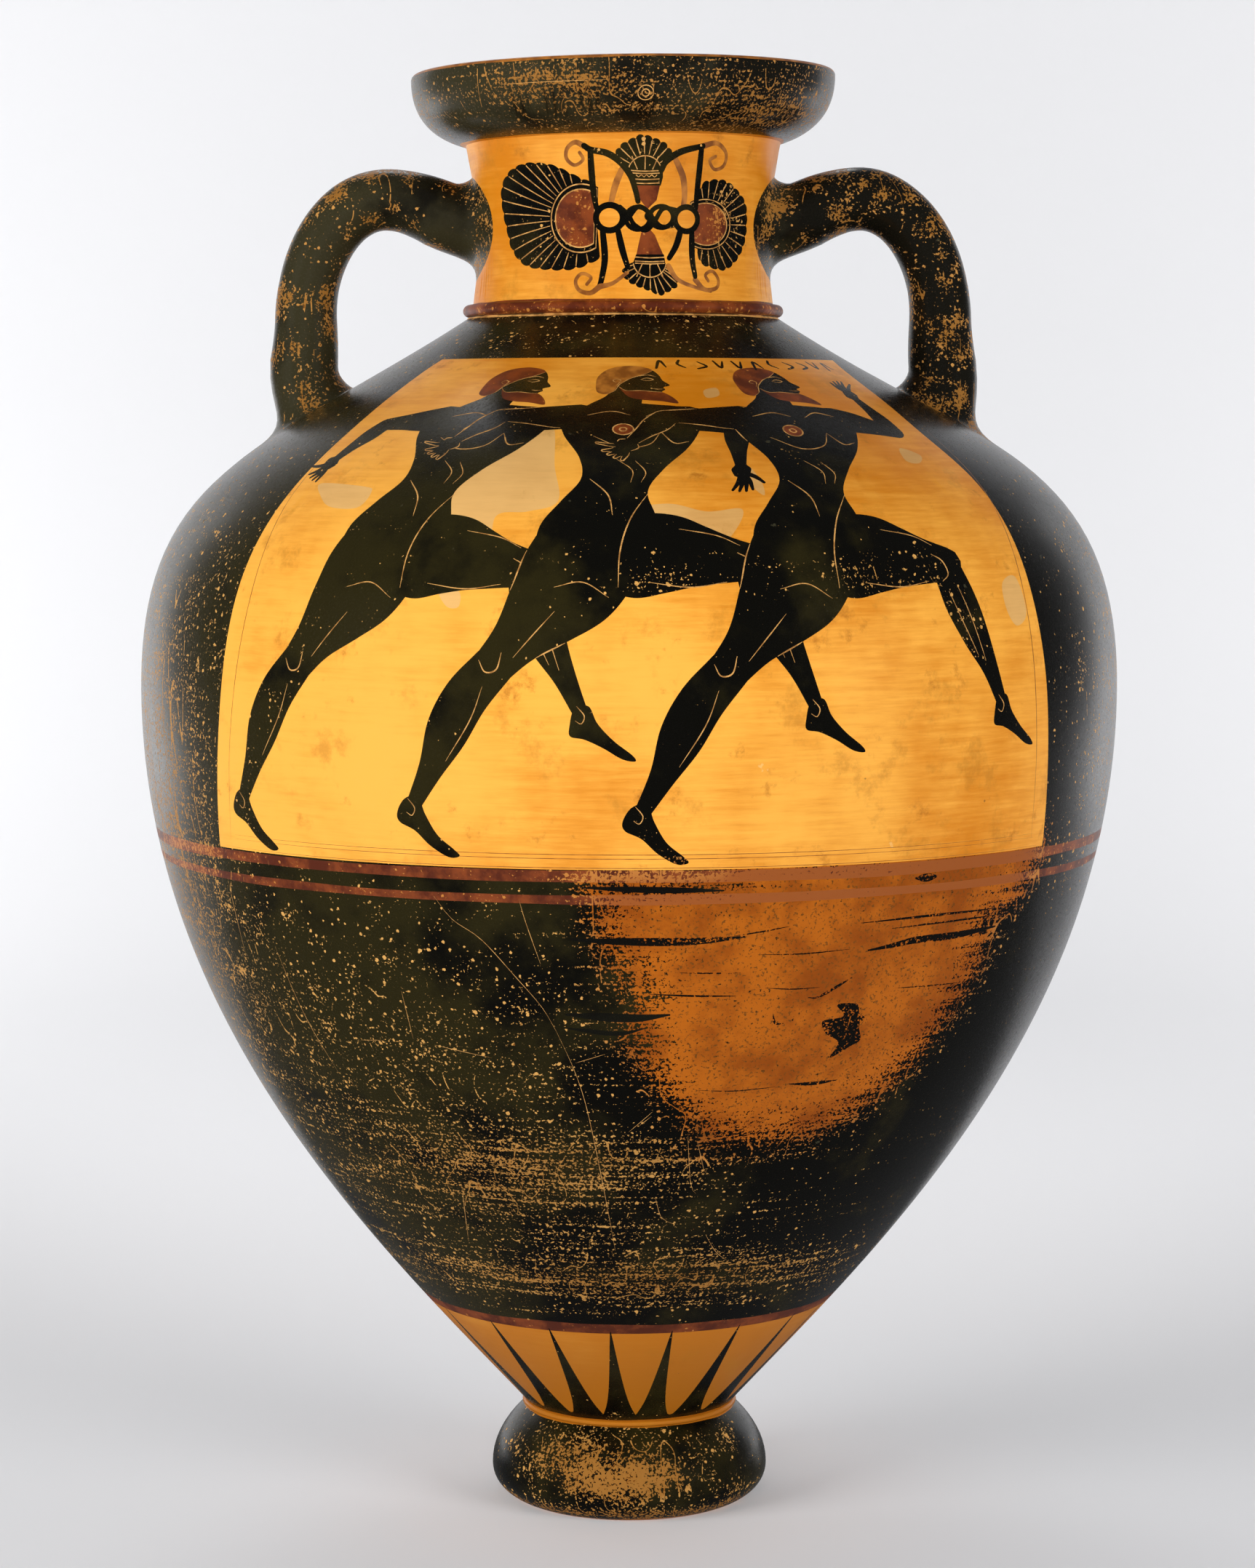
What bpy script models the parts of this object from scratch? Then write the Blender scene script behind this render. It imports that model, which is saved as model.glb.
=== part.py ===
"""Panathenaic prize amphora: a wheel-thrown clay jar on a round foot, with two handles.

The jar was thrown in parts, joined and fired as one, so it is one solid.  It stands on the
origin, +Z up, with its main picture towards -Y and its handles towards -X and +X.
"""

import math

import bmesh
import bpy
from mathutils import Vector

# Foot: a thick turned ring, hollow below, with a thin fillet where the body sits on it.
FOOT_HEIGHT = 0.0395
FOOT_RADIUS = 0.0604
FOOT_WIDEST_HEIGHT = 0.0126
REST_RADIUS = 0.0509
REST_WIDTH = 0.0115
FOOT_HOLLOW_DEPTH = 0.022
FILLET_SIZE = 0.0026

# Body: an egg that narrows to the foot, with a broad shoulder.
STEM_RADIUS = 0.0458
BODY_RADIUS = 0.2104
BELLY_HEIGHT = 0.3164
SHOULDER_HEIGHT = 0.1571
BODY_TOP_RADIUS = 0.0688
LOWER_SLOPE = math.radians(48.4)
SHOULDER_SLOPE = math.radians(33.1)
WALL = 0.0075

# Neck: a short drum with a raised collar at its base.
NECK_HEIGHT = 0.0730
NECK_RADIUS = 0.0622
NECK_TOP_RADIUS = 0.0672
COLLAR_HEIGHT = 0.0050
COLLAR_RADIUS = 0.0686
NECK_WALL = 0.0070

# Lip: a flaring bowl-shaped mouth with a flat top.
LIP_HEIGHT = 0.0320
LIP_RADIUS = 0.0904
LIP_TOP_WIDTH = 0.0150
LIP_EDGE = 0.0016

# Handles: round rolls of clay that spring from the neck and stand on the shoulder.
HANDLE_THICKNESS = 0.0256
HANDLE_ROOT_HEIGHT = 0.0392
HANDLE_CROWN_RADIUS = 0.1012
HANDLE_CROWN_HEIGHT = 0.0520
HANDLE_SIDE_RADIUS = 0.1362
HANDLE_SIDE_HEIGHT = 0.0020
HANDLE_FOOT_RADIUS = 0.1445
ROOT_HALF_HEIGHT = 0.0215
ROOT_HALF_WIDTH = 0.0310
FOOT_HALF_HEIGHT = 0.0185
FOOT_HALF_WIDTH = 0.0190
ROOT_SPREAD = 0.0300

# The hand-made jar isn't quite true: the neck sits a little to -X, and the mouth tilts.
NECK_OFFSET = -0.0025
MOUTH_TILT = 0.0138

# Facets
TURNED_STEPS = 54
CAVITY_STEPS = 36
HANDLE_SIDES = 16
HANDLE_RINGS = 22

# Heights that follow from the sizes above
BODY_BASE = FOOT_HEIGHT
BELLY_LEVEL = BODY_BASE + BELLY_HEIGHT
NECK_BASE = BELLY_LEVEL + SHOULDER_HEIGHT
NECK_TOP = NECK_BASE + NECK_HEIGHT
HEIGHT = NECK_TOP + LIP_HEIGHT

# Pieces that meet pass this far into each other before they are joined.
SINK = 0.004


def curve(start, start_pull, end_pull, end, count):
    """Points on a Bezier curve, each a (radius, height) pair."""
    points = []
    for i in range(count):
        t = i / (count - 1)
        shares = ((1 - t) ** 3, 3 * (1 - t) ** 2 * t, 3 * (1 - t) * t ** 2, t ** 3)
        corners = (start, start_pull, end_pull, end)
        points.append(tuple(sum(s * c[k] for s, c in zip(shares, corners)) for k in (0, 1)))
    return points


def inset(points, depth):
    """The same outline moved inwards by a wall's thickness, for a line that runs downwards."""
    moved = []
    for i, (radius, height) in enumerate(points):
        before = points[max(i - 1, 0)]
        after = points[min(i + 1, len(points) - 1)]
        along = Vector((after[0] - before[0], after[1] - before[1])).normalized()
        moved.append((radius + along.y * depth, height - along.x * depth))
    return moved


def lip_line(count):
    """The mouth's outer side, from its top edge down and in to the neck."""
    below = NECK_TOP
    return curve(
        (LIP_RADIUS, HEIGHT - LIP_EDGE),
        (LIP_RADIUS, HEIGHT - LIP_HEIGHT * 0.5),
        (NECK_TOP_RADIUS + (LIP_RADIUS - NECK_TOP_RADIUS) * 0.74, below + LIP_HEIGHT * 0.14),
        (NECK_TOP_RADIUS, below),
        count,
    )


def neck_line(bottom, count):
    """The neck's outer side, slightly waisted, from under the mouth down to a given height."""
    tall = NECK_TOP - bottom
    return curve(
        (NECK_TOP_RADIUS, NECK_TOP),
        (NECK_TOP_RADIUS - (NECK_TOP_RADIUS - NECK_RADIUS) * 1.1, NECK_TOP - tall * 0.4),
        (NECK_RADIUS, bottom + tall * 0.4),
        (NECK_RADIUS, bottom),
        count,
    )


def shoulder_line(count):
    """The shoulder, from the neck's base out and down to the widest level."""
    spread = BODY_RADIUS - BODY_TOP_RADIUS
    pull = spread * 0.707
    return curve(
        (BODY_TOP_RADIUS, NECK_BASE),
        (BODY_TOP_RADIUS + pull * math.cos(SHOULDER_SLOPE), NECK_BASE - pull * math.sin(SHOULDER_SLOPE)),
        (BODY_RADIUS, BELLY_LEVEL + SHOULDER_HEIGHT * 0.627),
        (BODY_RADIUS, BELLY_LEVEL),
        count,
    )


def belly_line(count):
    """The lower body, from the widest level down and in to the foot."""
    pull = BELLY_HEIGHT * 0.306
    return curve(
        (BODY_RADIUS, BELLY_LEVEL),
        (BODY_RADIUS, BELLY_LEVEL - BELLY_HEIGHT * 0.452),
        (STEM_RADIUS + pull * math.cos(LOWER_SLOPE), BODY_BASE + pull * math.sin(LOWER_SLOPE)),
        (STEM_RADIUS, BODY_BASE + FILLET_SIZE),
        count,
    )


def foot_line(count):
    """The foot's outer side, from under the fillet out to its widest and in to the floor."""
    top = BODY_BASE
    upper = curve(
        (STEM_RADIUS, top),
        (STEM_RADIUS + 0.0012, top - 0.001),
        (FOOT_RADIUS, FOOT_WIDEST_HEIGHT + (top - FOOT_WIDEST_HEIGHT) * 0.56),
        (FOOT_RADIUS, FOOT_WIDEST_HEIGHT),
        count,
    )
    under = curve(
        (FOOT_RADIUS, FOOT_WIDEST_HEIGHT),
        (FOOT_RADIUS, FOOT_WIDEST_HEIGHT * 0.26),
        (REST_RADIUS, 0),
        (REST_RADIUS, 0),
        count // 2 + 2,
    )
    return upper[:-1] + under[:-1]


def foot_underside():
    """The flat ring that the jar stands on, and the hollow inside it."""
    inner = REST_RADIUS - REST_WIDTH
    return [(REST_RADIUS, 0), (inner, 0)] + curve(
        (inner - 0.001, 0.002),
        (inner * 0.88, FOOT_HOLLOW_DEPTH * 0.75),
        (inner * 0.45, FOOT_HOLLOW_DEPTH),
        (0, FOOT_HOLLOW_DEPTH),
        6,
    )


def outer_line():
    """The whole jar's outer side, from the middle of the mouth to the middle of the foot."""
    collar_foot = (COLLAR_RADIUS, NECK_BASE + FILLET_SIZE * 0.3)
    collar_top = NECK_BASE + COLLAR_HEIGHT
    fillet = [
        (STEM_RADIUS + FILLET_SIZE * 0.5, BODY_BASE + FILLET_SIZE * 0.75),
        (STEM_RADIUS + FILLET_SIZE * 0.5, BODY_BASE + FILLET_SIZE * 0.25),
    ]
    return (
        [(0, HEIGHT), (LIP_RADIUS - LIP_EDGE, HEIGHT)]
        + lip_line(8)
        + neck_line(collar_top, 5)[1:]
        + [(COLLAR_RADIUS - 0.001, collar_top - 0.001), collar_foot]
        + shoulder_line(11)
        + belly_line(15)[1:]
        + fillet
        + foot_line(6)
        + foot_underside()
    )


def cavity_line():
    """The inside, from the air above the mouth to the bottom of the jar."""
    mouth = LIP_RADIUS - LIP_TOP_WIDTH
    throat = NECK_RADIUS - NECK_WALL
    funnel = curve(
        (mouth, HEIGHT),
        (mouth - 0.004, HEIGHT - LIP_HEIGHT * 0.6),
        (throat, NECK_TOP),
        (throat, NECK_TOP - LIP_HEIGHT * 0.4),
        5,
    )
    body = inset(shoulder_line(8) + belly_line(11)[1:], WALL)
    floor = BODY_BASE + WALL
    body = [(radius, height) for radius, height in body if radius > throat * 0.5 and height > floor]
    return (
        [(0, HEIGHT + SINK), (mouth, HEIGHT + SINK)]
        + funnel
        + [(throat, body[0][1] + 0.006)]
        + body
        + [(body[-1][0] * 0.5, floor + 0.001), (0, floor)]
    )


def turned(name, points, steps, collection):
    """A solid of revolution about Z from a line of (radius, height) points."""
    mesh = bpy.data.meshes.new(name)
    places = [(radius, 0, height) for radius, height in points]
    edges = [(i, i + 1) for i in range(len(points) - 1)]
    mesh.from_pydata(places, edges, [])
    solid = bpy.data.objects.new(name, mesh)
    collection.objects.link(solid)
    screw = solid.modifiers.new("Turn", "SCREW")
    screw.steps = steps
    screw.render_steps = steps
    screw.use_merge_vertices = True
    screw.merge_threshold = 0.00001
    screw.use_smooth_shade = True
    return solid


def shoulder_height(radius):
    """The height of the shoulder's surface at a distance from the axis."""
    line = shoulder_line(60)
    for (r0, z0), (r1, z1) in zip(line, line[1:]):
        if r0 <= radius <= r1:
            return z0 + (z1 - z0) * (radius - r0) / (r1 - r0)
    return line[-1][1]


def handle_path(count):
    """The middle of the handle on +X: out of the neck, over the crown, down to the shoulder."""
    root = Vector((NECK_RADIUS - SINK, NECK_BASE + HANDLE_ROOT_HEIGHT))
    crown = Vector((HANDLE_CROWN_RADIUS, NECK_BASE + HANDLE_CROWN_HEIGHT))
    side = Vector((HANDLE_SIDE_RADIUS, NECK_BASE + HANDLE_SIDE_HEIGHT))
    landing = shoulder_height(HANDLE_FOOT_RADIUS)
    foot = Vector((HANDLE_FOOT_RADIUS, landing - SINK))
    reach = crown - root
    bend = 0.55
    legs = [
        (root, root + reach * 0.35, crown - Vector((reach.x * 0.45, 0)), crown),
        (
            crown,
            crown + Vector(((side.x - crown.x) * bend, 0)),
            side + Vector((0, (crown.y - side.y) * bend)),
            side,
        ),
        (side, side - Vector((0, (side.y - foot.y) * 0.45)), foot + Vector((-0.003, 0.010)), foot),
    ]
    fine = []
    for leg in legs:
        fine += [Vector(p) for p in curve(*leg, 30)][0 if leg is legs[0] else 1:]
    steps = [(b - a).length for a, b in zip(fine, fine[1:])]
    total = sum(steps)
    path, walked, target = [fine[0]], 0, total / (count - 1)
    for a, b, step in zip(fine, fine[1:], steps):
        while walked + step >= target * len(path) and len(path) < count - 1:
            share = (target * len(path) - walked) / step
            path.append(a.lerp(b, share))
        walked += step
    path.append(fine[-1])
    return path, total


def nearness(distance):
    """1 where a handle is rooted, fading to 0 along its length."""
    return max(0, 1 - distance / ROOT_SPREAD) ** 2


def seated(x, y, z, at_neck, at_shoulder):
    """Bends a handle's end to lie along the round neck or the sloping shoulder."""
    x -= at_neck * (NECK_RADIUS - math.sqrt(max(NECK_RADIUS ** 2 - y ** 2, 0)))
    drop = shoulder_height(HANDLE_FOOT_RADIUS) - shoulder_height(math.hypot(x, y))
    return x, y, z - at_shoulder * drop


def handle(name, side, collection):
    """One handle as a tube through rings that widen towards both roots."""
    path, total = handle_path(HANDLE_RINGS)
    half = HANDLE_THICKNESS / 2
    rings = []
    shape = bmesh.new()
    for i, point in enumerate(path):
        ahead = (path[min(i + 1, len(path) - 1)] - path[max(i - 1, 0)]).normalized()
        walked = total * i / (len(path) - 1)
        at_neck = nearness(walked)
        at_shoulder = nearness(total - walked)
        tall = half + at_neck * (ROOT_HALF_HEIGHT - half) + at_shoulder * (FOOT_HALF_HEIGHT - half)
        wide = half + at_neck * (ROOT_HALF_WIDTH - half) + at_shoulder * (FOOT_HALF_WIDTH - half)
        ring = []
        for k in range(HANDLE_SIDES):
            angle = 2 * math.pi * k / HANDLE_SIDES
            rise = tall * math.cos(angle)
            x = point.x - ahead.y * rise
            z = point.y + ahead.x * rise
            x, y, z = seated(x, wide * math.sin(angle), z, at_neck, at_shoulder)
            ring.append(shape.verts.new((side * x, y, z)))
        rings.append(ring)
    for lower, upper in zip(rings, rings[1:]):
        for k in range(HANDLE_SIDES):
            after = (k + 1) % HANDLE_SIDES
            shape.faces.new((lower[k], lower[after], upper[after], upper[k]))
    shape.faces.new(rings[0][::-1])
    shape.faces.new(rings[-1])
    bmesh.ops.recalc_face_normals(shape, faces=shape.faces)
    mesh = bpy.data.meshes.new(name)
    shape.to_mesh(mesh)
    shape.free()
    tube = bpy.data.objects.new(name, mesh)
    collection.objects.link(tube)
    return tube


def join(target, other, operation):
    """Adds or cuts with another solid, which stays behind as a hidden guide."""
    step = target.modifiers.new(other.name, "BOOLEAN")
    step.operation = operation
    step.solver = "EXACT"
    step.object = other
    other.hide_render = True
    other.display_type = "WIRE"


def settle(mesh):
    """Gives the neck and mouth the slight lean and tilt of the real jar."""
    for vertex in mesh.vertices:
        x, y, z = vertex.co
        share = min(max((z - (NECK_BASE - 0.05)) / 0.05, 0), 1)
        lean = share * share * (3 - 2 * share)
        share = min(max((z - (NECK_TOP - 0.03)) / 0.03, 0), 1)
        tilt = share * share * (3 - 2 * share)
        vertex.co = (x + NECK_OFFSET * lean, y, z + MOUTH_TILT * x * tilt)


def fired_clay():
    """Orange clay under a worn black gloss, seen as its commonest colour."""
    material = bpy.data.materials.new("fired_clay")
    material.use_nodes = True
    shader = material.node_tree.nodes["Principled BSDF"]
    shader.inputs["Base Color"].default_value = (0.045, 0.032, 0.022, 1)
    shader.inputs["Roughness"].default_value = 0.35
    shader.inputs["Metallic"].default_value = 0
    return material


def new_collection(name):
    collection = bpy.data.collections.new(name)
    bpy.context.scene.collection.children.link(collection)
    return collection


for old in list(bpy.data.objects):
    bpy.data.objects.remove(old, do_unlink=True)

parts = new_collection("panathenaic_amphora")
guides = new_collection("amphora_guides")

rough = turned("thrown_solid", outer_line(), TURNED_STEPS, guides)
join(rough, handle("handle_left", -1, guides), "UNION")
join(rough, handle("handle_right", 1, guides), "UNION")
join(rough, turned("cavity", cavity_line(), CAVITY_STEPS, guides), "DIFFERENCE")
rough.hide_render = True
rough.display_type = "WIRE"

bpy.context.view_layer.update()
seen = rough.evaluated_get(bpy.context.evaluated_depsgraph_get())
shell = bpy.data.meshes.new_from_object(seen)
shell.name = "amphora"
settle(shell)
shell.shade_smooth()
shell.set_sharp_from_angle(angle=math.radians(40))
shell.materials.clear()
shell.materials.append(fired_clay())
amphora = bpy.data.objects.new("amphora", shell)
parts.objects.link(amphora)
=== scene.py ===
"""The looks of the panathenaic prize amphora: its painted, worn clay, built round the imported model."""

import math

import bpy
import numpy as np
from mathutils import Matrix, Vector, geometry, kdtree, noise


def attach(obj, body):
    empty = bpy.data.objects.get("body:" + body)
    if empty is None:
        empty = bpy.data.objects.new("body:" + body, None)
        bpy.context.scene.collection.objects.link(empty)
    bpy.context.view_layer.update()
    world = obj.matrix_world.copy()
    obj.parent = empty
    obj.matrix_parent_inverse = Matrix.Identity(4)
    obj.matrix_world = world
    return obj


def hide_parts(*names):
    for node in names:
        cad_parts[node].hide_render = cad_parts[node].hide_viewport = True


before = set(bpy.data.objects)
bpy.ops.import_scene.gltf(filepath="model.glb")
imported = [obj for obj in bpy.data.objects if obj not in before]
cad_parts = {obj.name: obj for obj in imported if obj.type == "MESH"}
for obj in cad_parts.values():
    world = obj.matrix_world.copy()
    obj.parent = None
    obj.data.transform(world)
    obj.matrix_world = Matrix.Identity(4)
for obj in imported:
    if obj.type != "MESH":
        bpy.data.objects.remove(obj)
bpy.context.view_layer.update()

# THE CAMERA
# It stands where the photograph's did, a little above the middle of the jar, and looks slightly
# down through a long lens.  Pixels are the photograph's own.

PHOTO_WIDE = 1725
PHOTO_TALL = 2156
FOCAL_PIXELS = 5130
HORIZON_PIXEL = 602
AXIS_PIXEL = 865
CAMERA_DISTANCE = 1.618
CAMERA_HEIGHT = 0.4631
SENSOR_MM = 36

bpy.ops.object.select_all(action="DESELECT")
bpy.ops.object.camera_add()
camera = bpy.context.object
camera.name = "camera"
camera.data.sensor_width = SENSOR_MM
camera.data.lens = SENSOR_MM * FOCAL_PIXELS / PHOTO_TALL
pitch = math.atan((PHOTO_TALL / 2 - HORIZON_PIXEL) / FOCAL_PIXELS)
sideways = (PHOTO_WIDE / 2 - AXIS_PIXEL) / FOCAL_PIXELS * CAMERA_DISTANCE
camera.location = (sideways, -CAMERA_DISTANCE, CAMERA_HEIGHT)
camera.rotation_euler = (math.radians(90) - pitch, 0, 0)
bpy.context.scene.camera = camera

# THE JAR'S FORM
# Thrown on the wheel from fine orange clay in parts, foot, body and neck with mouth, that were
# joined while soft.  One line, turned about the upright axis, gives the whole outer side.

MM = 0.001
CM = 0.01

BELLY_LEVEL = 0.3559
NECK_BASE = 0.5130
NECK_TOP = 0.5880
MOUTH_TOP = 0.6180
BODY_BASE = 0.0395
BODY_RADIUS = 0.2104
BODY_TOP_RADIUS = 0.0684
STEM_RADIUS = 0.0458
FOOT_RADIUS = 0.0604
FOOT_WIDEST = 0.0126
REST_RADIUS = 0.0509
NECK_RADIUS = 0.0622
NECK_TOP_RADIUS = 0.0672
MOUTH_RADIUS = 0.0904
MOUTH_EDGE = 2.2 * MM
COLLAR_BEAD = 2.6 * MM
FILLET_BEAD = 1.3 * MM
WALL = 0.0075
TURNS = 180


def bend_at(t, start, start_pull, end_pull, end):
    """Points of a Bezier curve, at shares of the way along it."""
    s = 1 - t
    return s ** 3 * start + 3 * s ** 2 * t * start_pull + 3 * s * t ** 2 * end_pull + t ** 3 * end


def bend(start, start_pull, end_pull, end, count):
    """Points along a Bezier curve, each a (radius, height) pair."""
    points = (np.array(p, float) for p in (start, start_pull, end_pull, end))
    return bend_at(np.linspace(0, 1, count)[:, None], *points)


def bead(middle, radius, first, last, count):
    """Part of a circle, between two angles in degrees, for a bead or a rounded edge."""
    turn = np.radians(np.linspace(first, last, count))
    return np.array(middle) + radius * np.column_stack((np.cos(turn), np.sin(turn)))


lower_slope = math.radians(48.4)
shoulder_slope = math.radians(33.1)
belly_height = BELLY_LEVEL - BODY_BASE
shoulder_height = NECK_BASE - BELLY_LEVEL
shoulder_pull = (BODY_RADIUS - BODY_TOP_RADIUS) * 0.707
foot_side = BODY_BASE - FOOT_WIDEST
neck_start = NECK_BASE + 1.6 * COLLAR_BEAD + COLLAR_BEAD
neck_tall = NECK_TOP - neck_start
mouth_tall = MOUTH_TOP - NECK_TOP

stretches = {
    "foot_under": bend(
        (REST_RADIUS, 0), (REST_RADIUS, 0), (FOOT_RADIUS, FOOT_WIDEST * 0.26), (FOOT_RADIUS, FOOT_WIDEST), 40,
    ),
    "foot": bend(
        (FOOT_RADIUS, FOOT_WIDEST),
        (FOOT_RADIUS, FOOT_WIDEST + foot_side * 0.56),
        (STEM_RADIUS + 1.2 * MM, BODY_BASE - 1.0 * MM),
        (STEM_RADIUS, BODY_BASE),
        90,
    ),
    "fillet": bead((STEM_RADIUS, BODY_BASE + FILLET_BEAD), FILLET_BEAD, -88, 88, 13),
    "belly": bend(
        (STEM_RADIUS, BODY_BASE + 2 * FILLET_BEAD),
        (
            STEM_RADIUS + belly_height * 0.306 * math.cos(lower_slope),
            BODY_BASE + 2 * FILLET_BEAD + belly_height * 0.300 * math.sin(lower_slope),
        ),
        (BODY_RADIUS, BELLY_LEVEL - belly_height * 0.452),
        (BODY_RADIUS, BELLY_LEVEL),
        900,
    ),
    "shoulder": bend(
        (BODY_RADIUS, BELLY_LEVEL),
        (BODY_RADIUS, BELLY_LEVEL + shoulder_height * 0.627),
        (
            BODY_TOP_RADIUS + shoulder_pull * math.cos(shoulder_slope),
            NECK_BASE - shoulder_pull * math.sin(shoulder_slope),
        ),
        (BODY_TOP_RADIUS - 2 * MM, NECK_BASE + 1.2 * MM),
        600,
    ),
    "collar": bead((0.0662, NECK_BASE + 1.6 * COLLAR_BEAD), COLLAR_BEAD, -90, 90, 17),
    "neck": bend(
        (NECK_RADIUS + 2.2 * MM, neck_start),
        (NECK_RADIUS - 0.6 * MM, neck_start + neck_tall * 0.25),
        (NECK_TOP_RADIUS - 5.6 * MM, NECK_TOP - neck_tall * 0.38),
        (NECK_TOP_RADIUS, NECK_TOP),
        160,
    ),
    "mouth": bend(
        (NECK_TOP_RADIUS, NECK_TOP),
        (NECK_TOP_RADIUS + 17.2 * MM, NECK_TOP + 4.4 * MM),
        (MOUTH_RADIUS, MOUTH_TOP - mouth_tall * 0.5),
        (MOUTH_RADIUS, MOUTH_TOP - MOUTH_EDGE),
        140,
    ),
    "mouth_edge": bead((MOUTH_RADIUS - MOUTH_EDGE, MOUTH_TOP - MOUTH_EDGE), MOUTH_EDGE, 0, 90, 9),
}
line = np.vstack(list(stretches.values()))
steps = np.hypot(*np.diff(line, axis=0).T)
keep = np.r_[True, steps > 1e-7]
line = line[keep]
up = np.r_[0, np.cumsum(np.hypot(*np.diff(line, axis=0).T))]


def level(radius_height):
    """How far up the outer side, in metres along its surface, a point of the line lies."""
    return float(up[np.argmin(np.hypot(*(line - np.array(radius_height)).T))])


FOOT_TOP = level(stretches["foot"][-1])
BELLY_START = level(stretches["belly"][0])
COLLAR_START = level(stretches["collar"][0])
NECK_START = level(stretches["neck"][0])
MOUTH_START = level(stretches["mouth"][0])
TOP = float(up[-1])


def radius_at(v):
    return np.interp(v, up, line[:, 0])


def height_at(v):
    return np.interp(v, up, line[:, 1])


def level_at_height(height):
    """The level on the outer side at a height."""
    return float(np.interp(height, line[:, 1], up))


def on_side(azimuth, v):
    """Points of the outer side.  Azimuth is 0 at the front and grows towards +X, in radians."""
    azimuth, v = np.asarray(azimuth, float), np.asarray(v, float)
    radius = radius_at(v)
    return np.stack((radius * np.sin(azimuth), -radius * np.cos(azimuth), height_at(v)), axis=-1)


# PAINTING
# The painter laid on a fine clay slip that fires glossy black, with dark red added on top, and
# cut details through it with a point.  Each painted shape is an outline on the jar's skin.

CLAY, BROWN, SLIP, RED, CUT, WORN, LEFT, TONED, INSIDE = range(9)
painted = []
edge_lines = []


def flowing(points, closed=False, step=1.5 * MM):
    """A smooth line through given points."""
    points = np.array(points, float)
    count = len(points)
    if closed:
        ring = np.vstack((points[-1], points, points[0], points[1]))
    else:
        ring = np.vstack((2 * points[0] - points[1], points, 2 * points[-1] - points[-2]))
    spans = count if closed else count - 1
    drawn = []
    for i in range(spans):
        a, b, c, d = ring[i], ring[i + 1], ring[i + 2], ring[i + 3]
        number = max(2, int(math.ceil(np.hypot(*(c - b)) / step)))
        t = np.linspace(0, 1, number, endpoint=False)[:, None]
        drawn.append(
            0.5 * (
                2 * b + (c - a) * t + (2 * a - 5 * b + 4 * c - d) * t ** 2
                + (3 * b - a - 3 * c + d) * t ** 3
            )
        )
    if not closed:
        drawn.append(points[-1:])
    return np.vstack(drawn)


def brushed(points, left, right=None, step=1.5 * MM, closed=False):
    """The outline of a brush line or a limb, with its own width on each side along a flowing line."""
    middle = flowing(points, closed, step)
    if closed:
        middle = np.vstack((middle, middle[:1]))
    along = np.gradient(middle, axis=0)
    along /= np.maximum(np.hypot(*along.T), 1e-12)[:, None]
    across = np.column_stack((-along[:, 1], along[:, 0]))
    share = np.r_[0, np.cumsum(np.hypot(*np.diff(middle, axis=0).T))]
    share /= share[-1]
    sides = []
    for widths in (left, left if right is None else right):
        widths = np.atleast_1d(np.array(widths, float))
        if len(widths) == 1:
            widths = np.repeat(widths, 2)
        stations = np.linspace(0, 1, len(widths))
        even = flowing(np.column_stack((stations, widths)), step=0.02)
        sides.append(np.interp(share, even[:, 0], even[:, 1]))
    first = middle + across * sides[0][:, None]
    second = middle - across * sides[1][:, None]
    if closed:
        return first, second
    half_turn = np.linspace(0, math.pi, 6)[1:-1, None]
    end = middle[-1] + sides[0][-1] * (across[-1] * np.cos(half_turn) + along[-1] * np.sin(half_turn))
    start = middle[0] + sides[1][0] * (-across[0] * np.cos(half_turn) - along[0] * np.sin(half_turn))
    if sides[0][-1] < 0.25 * MM:
        end = end[:0]
    if sides[1][0] < 0.25 * MM:
        start = start[:0]
    return np.vstack((first, end, second[::-1], start))


def lay(colour, outline, azimuth, v, scale=1.0, lean=0.0):
    """Paints an outline, drawn flat in metres about a place on the jar, on the jar's skin."""
    outline = np.array(outline, float) * scale
    if lean:
        c, s = math.cos(lean), math.sin(lean)
        outline = outline @ np.array([[c, s], [-s, c]])
    rise = v + outline[:, 1]
    painted.append((colour, np.column_stack((azimuth + outline[:, 0] / radius_at(rise), rise))))


def within(places, outline):
    """Which places lie inside an outline."""
    found = np.zeros(len(places), bool)
    low, high = outline.min(axis=0), outline.max(axis=0)
    near = np.nonzero(np.all((places >= low) & (places <= high), axis=1))[0]
    x, y = places[near].T
    turns = np.zeros(len(near), int)
    for (x0, y0), (x1, y1) in zip(outline, np.roll(outline, -1, axis=0)):
        rising = (y0 <= y) & (y1 > y)
        falling = (y0 > y) & (y1 <= y)
        if rising.any() or falling.any():
            on_left = (x1 - x0) * (y - y0) - (x - x0) * (y1 - y0)
            turns += (rising & (on_left > 0)).astype(int) - (falling & (on_left < 0)).astype(int)
    found[near] = turns != 0
    return found


# Bands run all round: a worn black foot, a bare fillet, black rays on clay, a dark red line, the
# black body with two red lines under the pictures, and a dark red collar under the clay neck.

FRONT = 0.0
BACK = math.pi


def wavy(v, azimuth, size, seed):
    """A level that wanders a little as the brush did, and closes on itself all round."""
    swing = np.sin(3 * azimuth + seed) + 0.6 * np.sin(7 * azimuth + 2.1 * seed)
    return v + size * 0.5 * (swing + 0.4 * np.sin(16 * azimuth + seed))


RAY_BASE = BELLY_START + 3.5 * MM
RAY_TOP = level_at_height(0.0910)
ZONE_TOP = level_at_height(0.0956)
LINE_ONE = (level_at_height(0.2855), level_at_height(0.2890))
LINE_TWO = (level_at_height(0.2940), level_at_height(0.2985))
PANEL_BASE = level_at_height(0.2990)
PANEL_TOP = level_at_height(0.4955)
SHOULDER_EDGE = COLLAR_START - 1.5 * MM
MOUTH_BLACK = MOUTH_START + 1.8 * MM

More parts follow.
